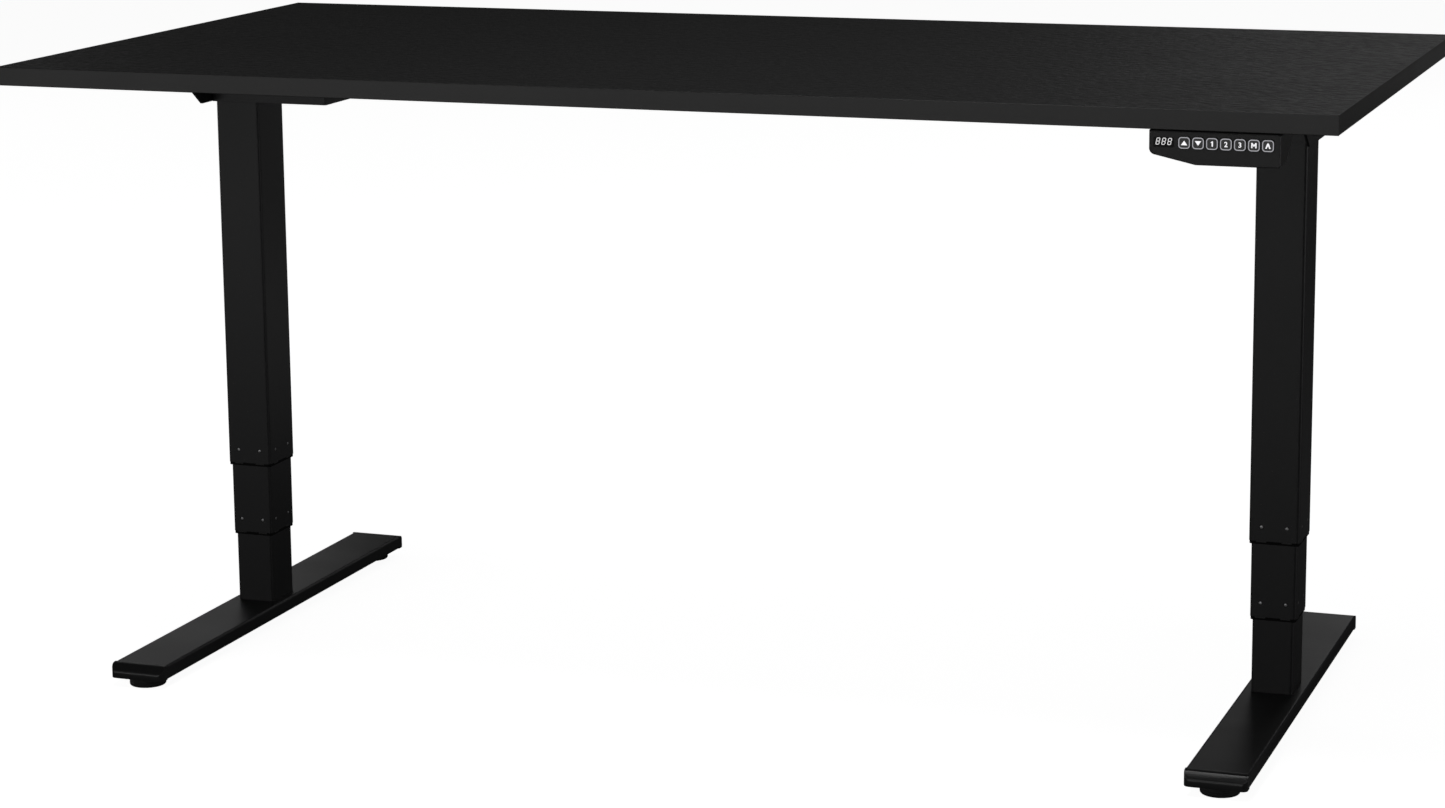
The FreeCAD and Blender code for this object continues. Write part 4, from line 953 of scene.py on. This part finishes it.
# %% Key signs
def sheet_of_ink(piece):
    """Gives a flat piece the thickness of ink, upwards, and centres it."""
    only(piece)
    bpy.ops.object.transform_apply()
    mode("EDIT")
    pick_all()
    bpy.ops.mesh.remove_doubles(threshold=MERGE_REACH / 2)
    extrude(0, 0, INK)
    faces_out()
    low = Vector([min(v.co[i] for v in piece.data.vertices) for i in range(3)])
    high = Vector([max(v.co[i] for v in piece.data.vertices) for i in range(3)])
    centre = Vector(((low.x + high.x) / 2, (low.y + high.y) / 2, low.z))
    piece.data.transform(Matrix.Translation(-centre))
    return piece


def written(text, height, weight):
    """A bold generic character as a flat mesh, this many metres tall."""
    deselect()
    bpy.ops.object.text_add()
    letter = bpy.context.object
    letter.data.body = text
    letter.data.offset = weight
    letter.data.resolution_u = 4
    bpy.ops.object.convert(target="MESH")
    letter = bpy.context.object
    heights = [v.co.y for v in letter.data.vertices]
    letter.data.transform(Matrix.Scale(height / (max(heights) - min(heights)), 4))
    return letter


ARROW_R, ARROW_WIDER, ARROW_LOWER = 3.6 * MM, 1.08, 0.92


def triangle(up):
    """A flat arrow that points up or down."""
    deselect()
    bpy.ops.mesh.primitive_circle_add(vertices=3, radius=ARROW_R, fill_type="NGON")
    arrow = bpy.context.object
    arrow.scale = (ARROW_WIDER, ARROW_LOWER if up else -ARROW_LOWER, 1.0)
    bpy.ops.object.transform_apply(location=False)
    return arrow


def outlined(points):
    """A flat sign from its outline, whose corners are in millimetres."""
    sign = drawn([(x * MM, y * MM, 0) for x, y in points])
    pick_all()
    bpy.ops.mesh.edge_face_add()
    mode("OBJECT")
    return sign


ONE = [(0.75, -2.8), (0.75, 2.8), (-0.1, 2.8), (-1.5, 1.9), (-1.5, 0.8), (-0.65, 1.2),
       (-0.65, -2.8)]
MEMORY = [(-2.8, -2.8), (-1.5, -2.8), (-1.5, 0.6), (0, -1.6), (1.5, 0.6), (1.5, -2.8),
          (2.8, -2.8), (2.8, 2.8), (1.6, 2.8), (0, 0.5), (-1.6, 2.8), (-2.8, 2.8)]
ALARM = [(-2.9, -2.8), (-1.35, -2.8), (0, 0.5), (1.35, -2.8), (2.9, -2.8), (0.75, 2.8),
         (-0.75, 2.8)]
SIGN_HEIGHT, BOLDER = 5.6 * MM, 0.02
signs = {"key_up": triangle(True), "key_down": triangle(False), "key_1": outlined(ONE),
         "key_2": written("2", SIGN_HEIGHT, BOLDER), "key_3": written("3", SIGN_HEIGHT, BOLDER),
         "key_memory": outlined(MEMORY), "key_alarm": outlined(ALARM)}
for key, shape in signs.items():
    on_key(sheet_of_ink(shape), key, "sign", "sign_ink_painted_glow")
    bpy.data.objects.remove(shape)
print("signs:", len(signs))

# %% [markdown]
# ## The digits of the display
#
# The display shows three digits of seven bars each, a little slanted, as such displays are. One
# bar is a hexagon drawn out long. It is copied to the seven places of a digit, the digit is
# slanted by moving each point sideways in proportion to its height, and the digit is copied three
# times.

# %% Display digits
DIGIT_W, DIGIT_H, DIGIT_PITCH, DIGIT_RISE = 3.3 * MM, 6.7 * MM, 6.3 * MM, 0.8 * MM
BAR, BAR_GAP, SLANT = 0.80 * MM, 0.25 * MM, 0.20
window_low, window_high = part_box("display_window")
deselect()
bpy.ops.mesh.primitive_circle_add(vertices=6, radius=0.5, fill_type="NGON")
bar = bpy.context.object
bar.data.transform(Matrix.Rotation(math.pi / 6, 4, "Z"))      # a corner at each end
bar_length = DIGIT_H / 2 - BAR_GAP
pick(bar, "VERT", lambda c, n: abs(c.x) < 0.4)
bpy.ops.transform.resize(value=(1.5, 1.0, 1.0))
mode("OBJECT")
tall = max(v.co.y for v in bar.data.vertices) * 2
bar.data.transform(Matrix.Diagonal((bar_length, BAR / tall, 1, 1)))
upright = Matrix.Rotation(QUARTER, 4, "Z")
w, h = DIGIT_W / 2, DIGIT_H / 2
flat = Matrix.Diagonal((2 * w / bar_length, 1, 1, 1))
bars = [copied(bar, (0, y, 0), flat) for y in (-h, 0, h)]
bars += [copied(bar, (sx * w, sy * h / 2, 0), upright) for sx in (-1, 1) for sy in (-1, 1)]
digit = joined(bars)
bpy.data.objects.remove(bar)
for v in digit.data.vertices:
    v.co.x += SLANT * v.co.y
sheet_of_ink(digit)
middle = (window_low + window_high) / 2
for index in (-1, 0, 1):
    place = (middle.x + index * DIGIT_PITCH, window_low.y, middle.z + DIGIT_RISE)
    lit = copied(digit, place, FACING["-Y"])
    done(lit, f"display_digit_{index + 2}", "upper", "display", "digit_light", smooth=20)
bpy.data.objects.remove(digit)
print("window:", [round(1000 * s, 1) for s in window_high - window_low], "mm")

# %% [markdown]
# ## The stage
#
# The floor and what is behind it are plain and nearly white. A white room would also be mirrored
# in the black surfaces and turn them grey, so what is seen directly and what is mirrored are set
# apart with the Light Path node: the camera sees a bright floor with soft shadows, and
# reflections see a dim one. It stands for the black cards that a studio puts around a dark
# product.

# %% Floor and surroundings
FLOOR_RADIUS = 30.0
FLOOR_GLOW, FLOOR_SEEN, FLOOR_MIRRORED = 0.94, 0.7, 0.30
AROUND = 0.03              # what the surfaces see of the surroundings, against 1 for white
deselect()
bpy.ops.mesh.primitive_circle_add(vertices=96, radius=FLOOR_RADIUS, fill_type="NGON")
floor = bpy.context.object
floor.name = "studio_floor"
pale = bpy.data.materials.new("pale_floor")
pale.use_nodes = True
tree = pale.node_tree
tree.nodes.clear()
path = node(tree, "LightPath")
seen = node(tree, "BsdfDiffuse", {"Color": (*[FLOOR_SEEN] * 3, 1)})
glow = node(tree, "Emission", {"Color": (1, 1, 1, 1), "Strength": FLOOR_GLOW})
bright = node(tree, "AddShader", {0: seen.outputs[0], 1: glow.outputs[0]})
mirrored = node(tree, "BsdfDiffuse", {"Color": (*[FLOOR_MIRRORED] * 3, 1)})
either = node(tree, "MixShader", {0: path.outputs["Is Camera Ray"],
                                  1: mirrored.outputs[0], 2: bright.outputs[0]})
node(tree, "OutputMaterial", {"Surface": either.outputs[0]})
floor.data.materials.append(pale)

world = bpy.data.worlds.new("studio")
bpy.context.scene.world = world
world.use_nodes = True
tree = world.node_tree
tree.nodes.clear()
path = node(tree, "LightPath")
strength = node(tree, "Mix", {0: path.outputs["Is Camera Ray"], 2: AROUND,
                              3: FLOOR_GLOW}, data_type="FLOAT")
sky = node(tree, "Background", {"Color": (1, 1, 1, 1), "Strength": strength.outputs[0]})
node(tree, "OutputWorld", {"Surface": sky.outputs[0]})

# %% [markdown]
# ## The lights
#
# Black surfaces show the lights more than they show themselves, so each light is there for one
# reflection. Two low cards in front are mirrored by the fronts of the columns. One behind on the
# right lays a glow across the board, and one far behind on the left does so for the tops of the
# feet. Small cards give the inner side of the left column, the board's end and the rolled end of
# the right cap their lines. The side cards and the high softbox in front are there for the other
# sides of the desk, which would be a flat black without them.

# %% Lights
LIGHTS = {
    # name: place, aimed at, width, height, watts
    "front_left_card": ((-2.0, -3.3, 0.35), (-0.6, 0.0, 0.35), 2.0, 0.6, 6.0),
    "front_right_card": ((0.2, -3.6, 0.35), (0.67, 0.0, 0.35), 1.6, 0.6, 4.8),
    "top_back_softbox": ((-0.3, 2.5, 3.4), (0.0, 0.0, 0.77), 3.0, 1.2, 4.5),
    "back_right_card": ((0.3, 6.0, 2.6), (0.3, 0.0, 0.77), 2.0, 1.2, 5.5),
    "back_left_card": ((-4.6, 4.6, 2.0), (-0.6, 0.0, 0.3), 1.6, 1.4, 2.0),
    "front_high_softbox": ((-0.5, -5.5, 2.6), (0.0, 0.0, 0.7), 5.0, 1.4, 16.0),
    "right_side_card": ((5.5, -0.3, 0.55), (0.7, 0.0, 0.4), 3.0, 0.9, 22.0),
    "left_side_card": ((-5.5, -0.3, 0.55), (-0.7, 0.0, 0.4), 3.0, 0.9, 22.0),
    "right_back_card": ((5.2, 4.6, 0.6), (0.0, 0.2, 0.4), 2.4, 0.9, 2.5),
    "end_edge_card": ((1.06, 1.30, 0.63), (0.8, 0.0, 0.76), 0.25, 0.10, 0.02),
    "left_foot_card": ((-1.9, 1.7, 0.62), (-0.67, -0.2, 0.04), 0.9, 0.28, 0.75),
    "back_low_card": ((0.5, 2.8, 0.5), (-0.67, 0.0, 0.5), 0.7, 0.7, 0.45),
    "cap_softbox": ((0.10, -0.90, 3.00), (0.60, -0.36, 0.0), 1.0, 0.6, 12.0),
    "column_side_card": ((-0.10, 1.10, 0.16), (-0.64, 0.0, 0.25), 0.25, 0.25, 0.06),
}
for name, (place, aim, width, height, watts) in LIGHTS.items():
    bpy.ops.object.light_add(type="AREA", location=place)
    lamp = bpy.context.object
    lamp.name = name
    lamp.data.shape = "RECTANGLE"
    lamp.data.size = width
    lamp.data.size_y = height
    lamp.data.energy = watts
    lamp.visible_camera = False
    towards = Vector(aim) - Vector(place)
    lamp.rotation_euler = towards.to_track_quat("-Z", "Y").to_euler()
print("lights:", len(LIGHTS))

# %% [markdown]
# ## Colour
#
# The Standard view keeps white at white, and it leaves the blacks as dark as they are.

# %% View transform
scene = bpy.context.scene
scene.view_settings.view_transform = "Standard"
scene.view_settings.look = "None"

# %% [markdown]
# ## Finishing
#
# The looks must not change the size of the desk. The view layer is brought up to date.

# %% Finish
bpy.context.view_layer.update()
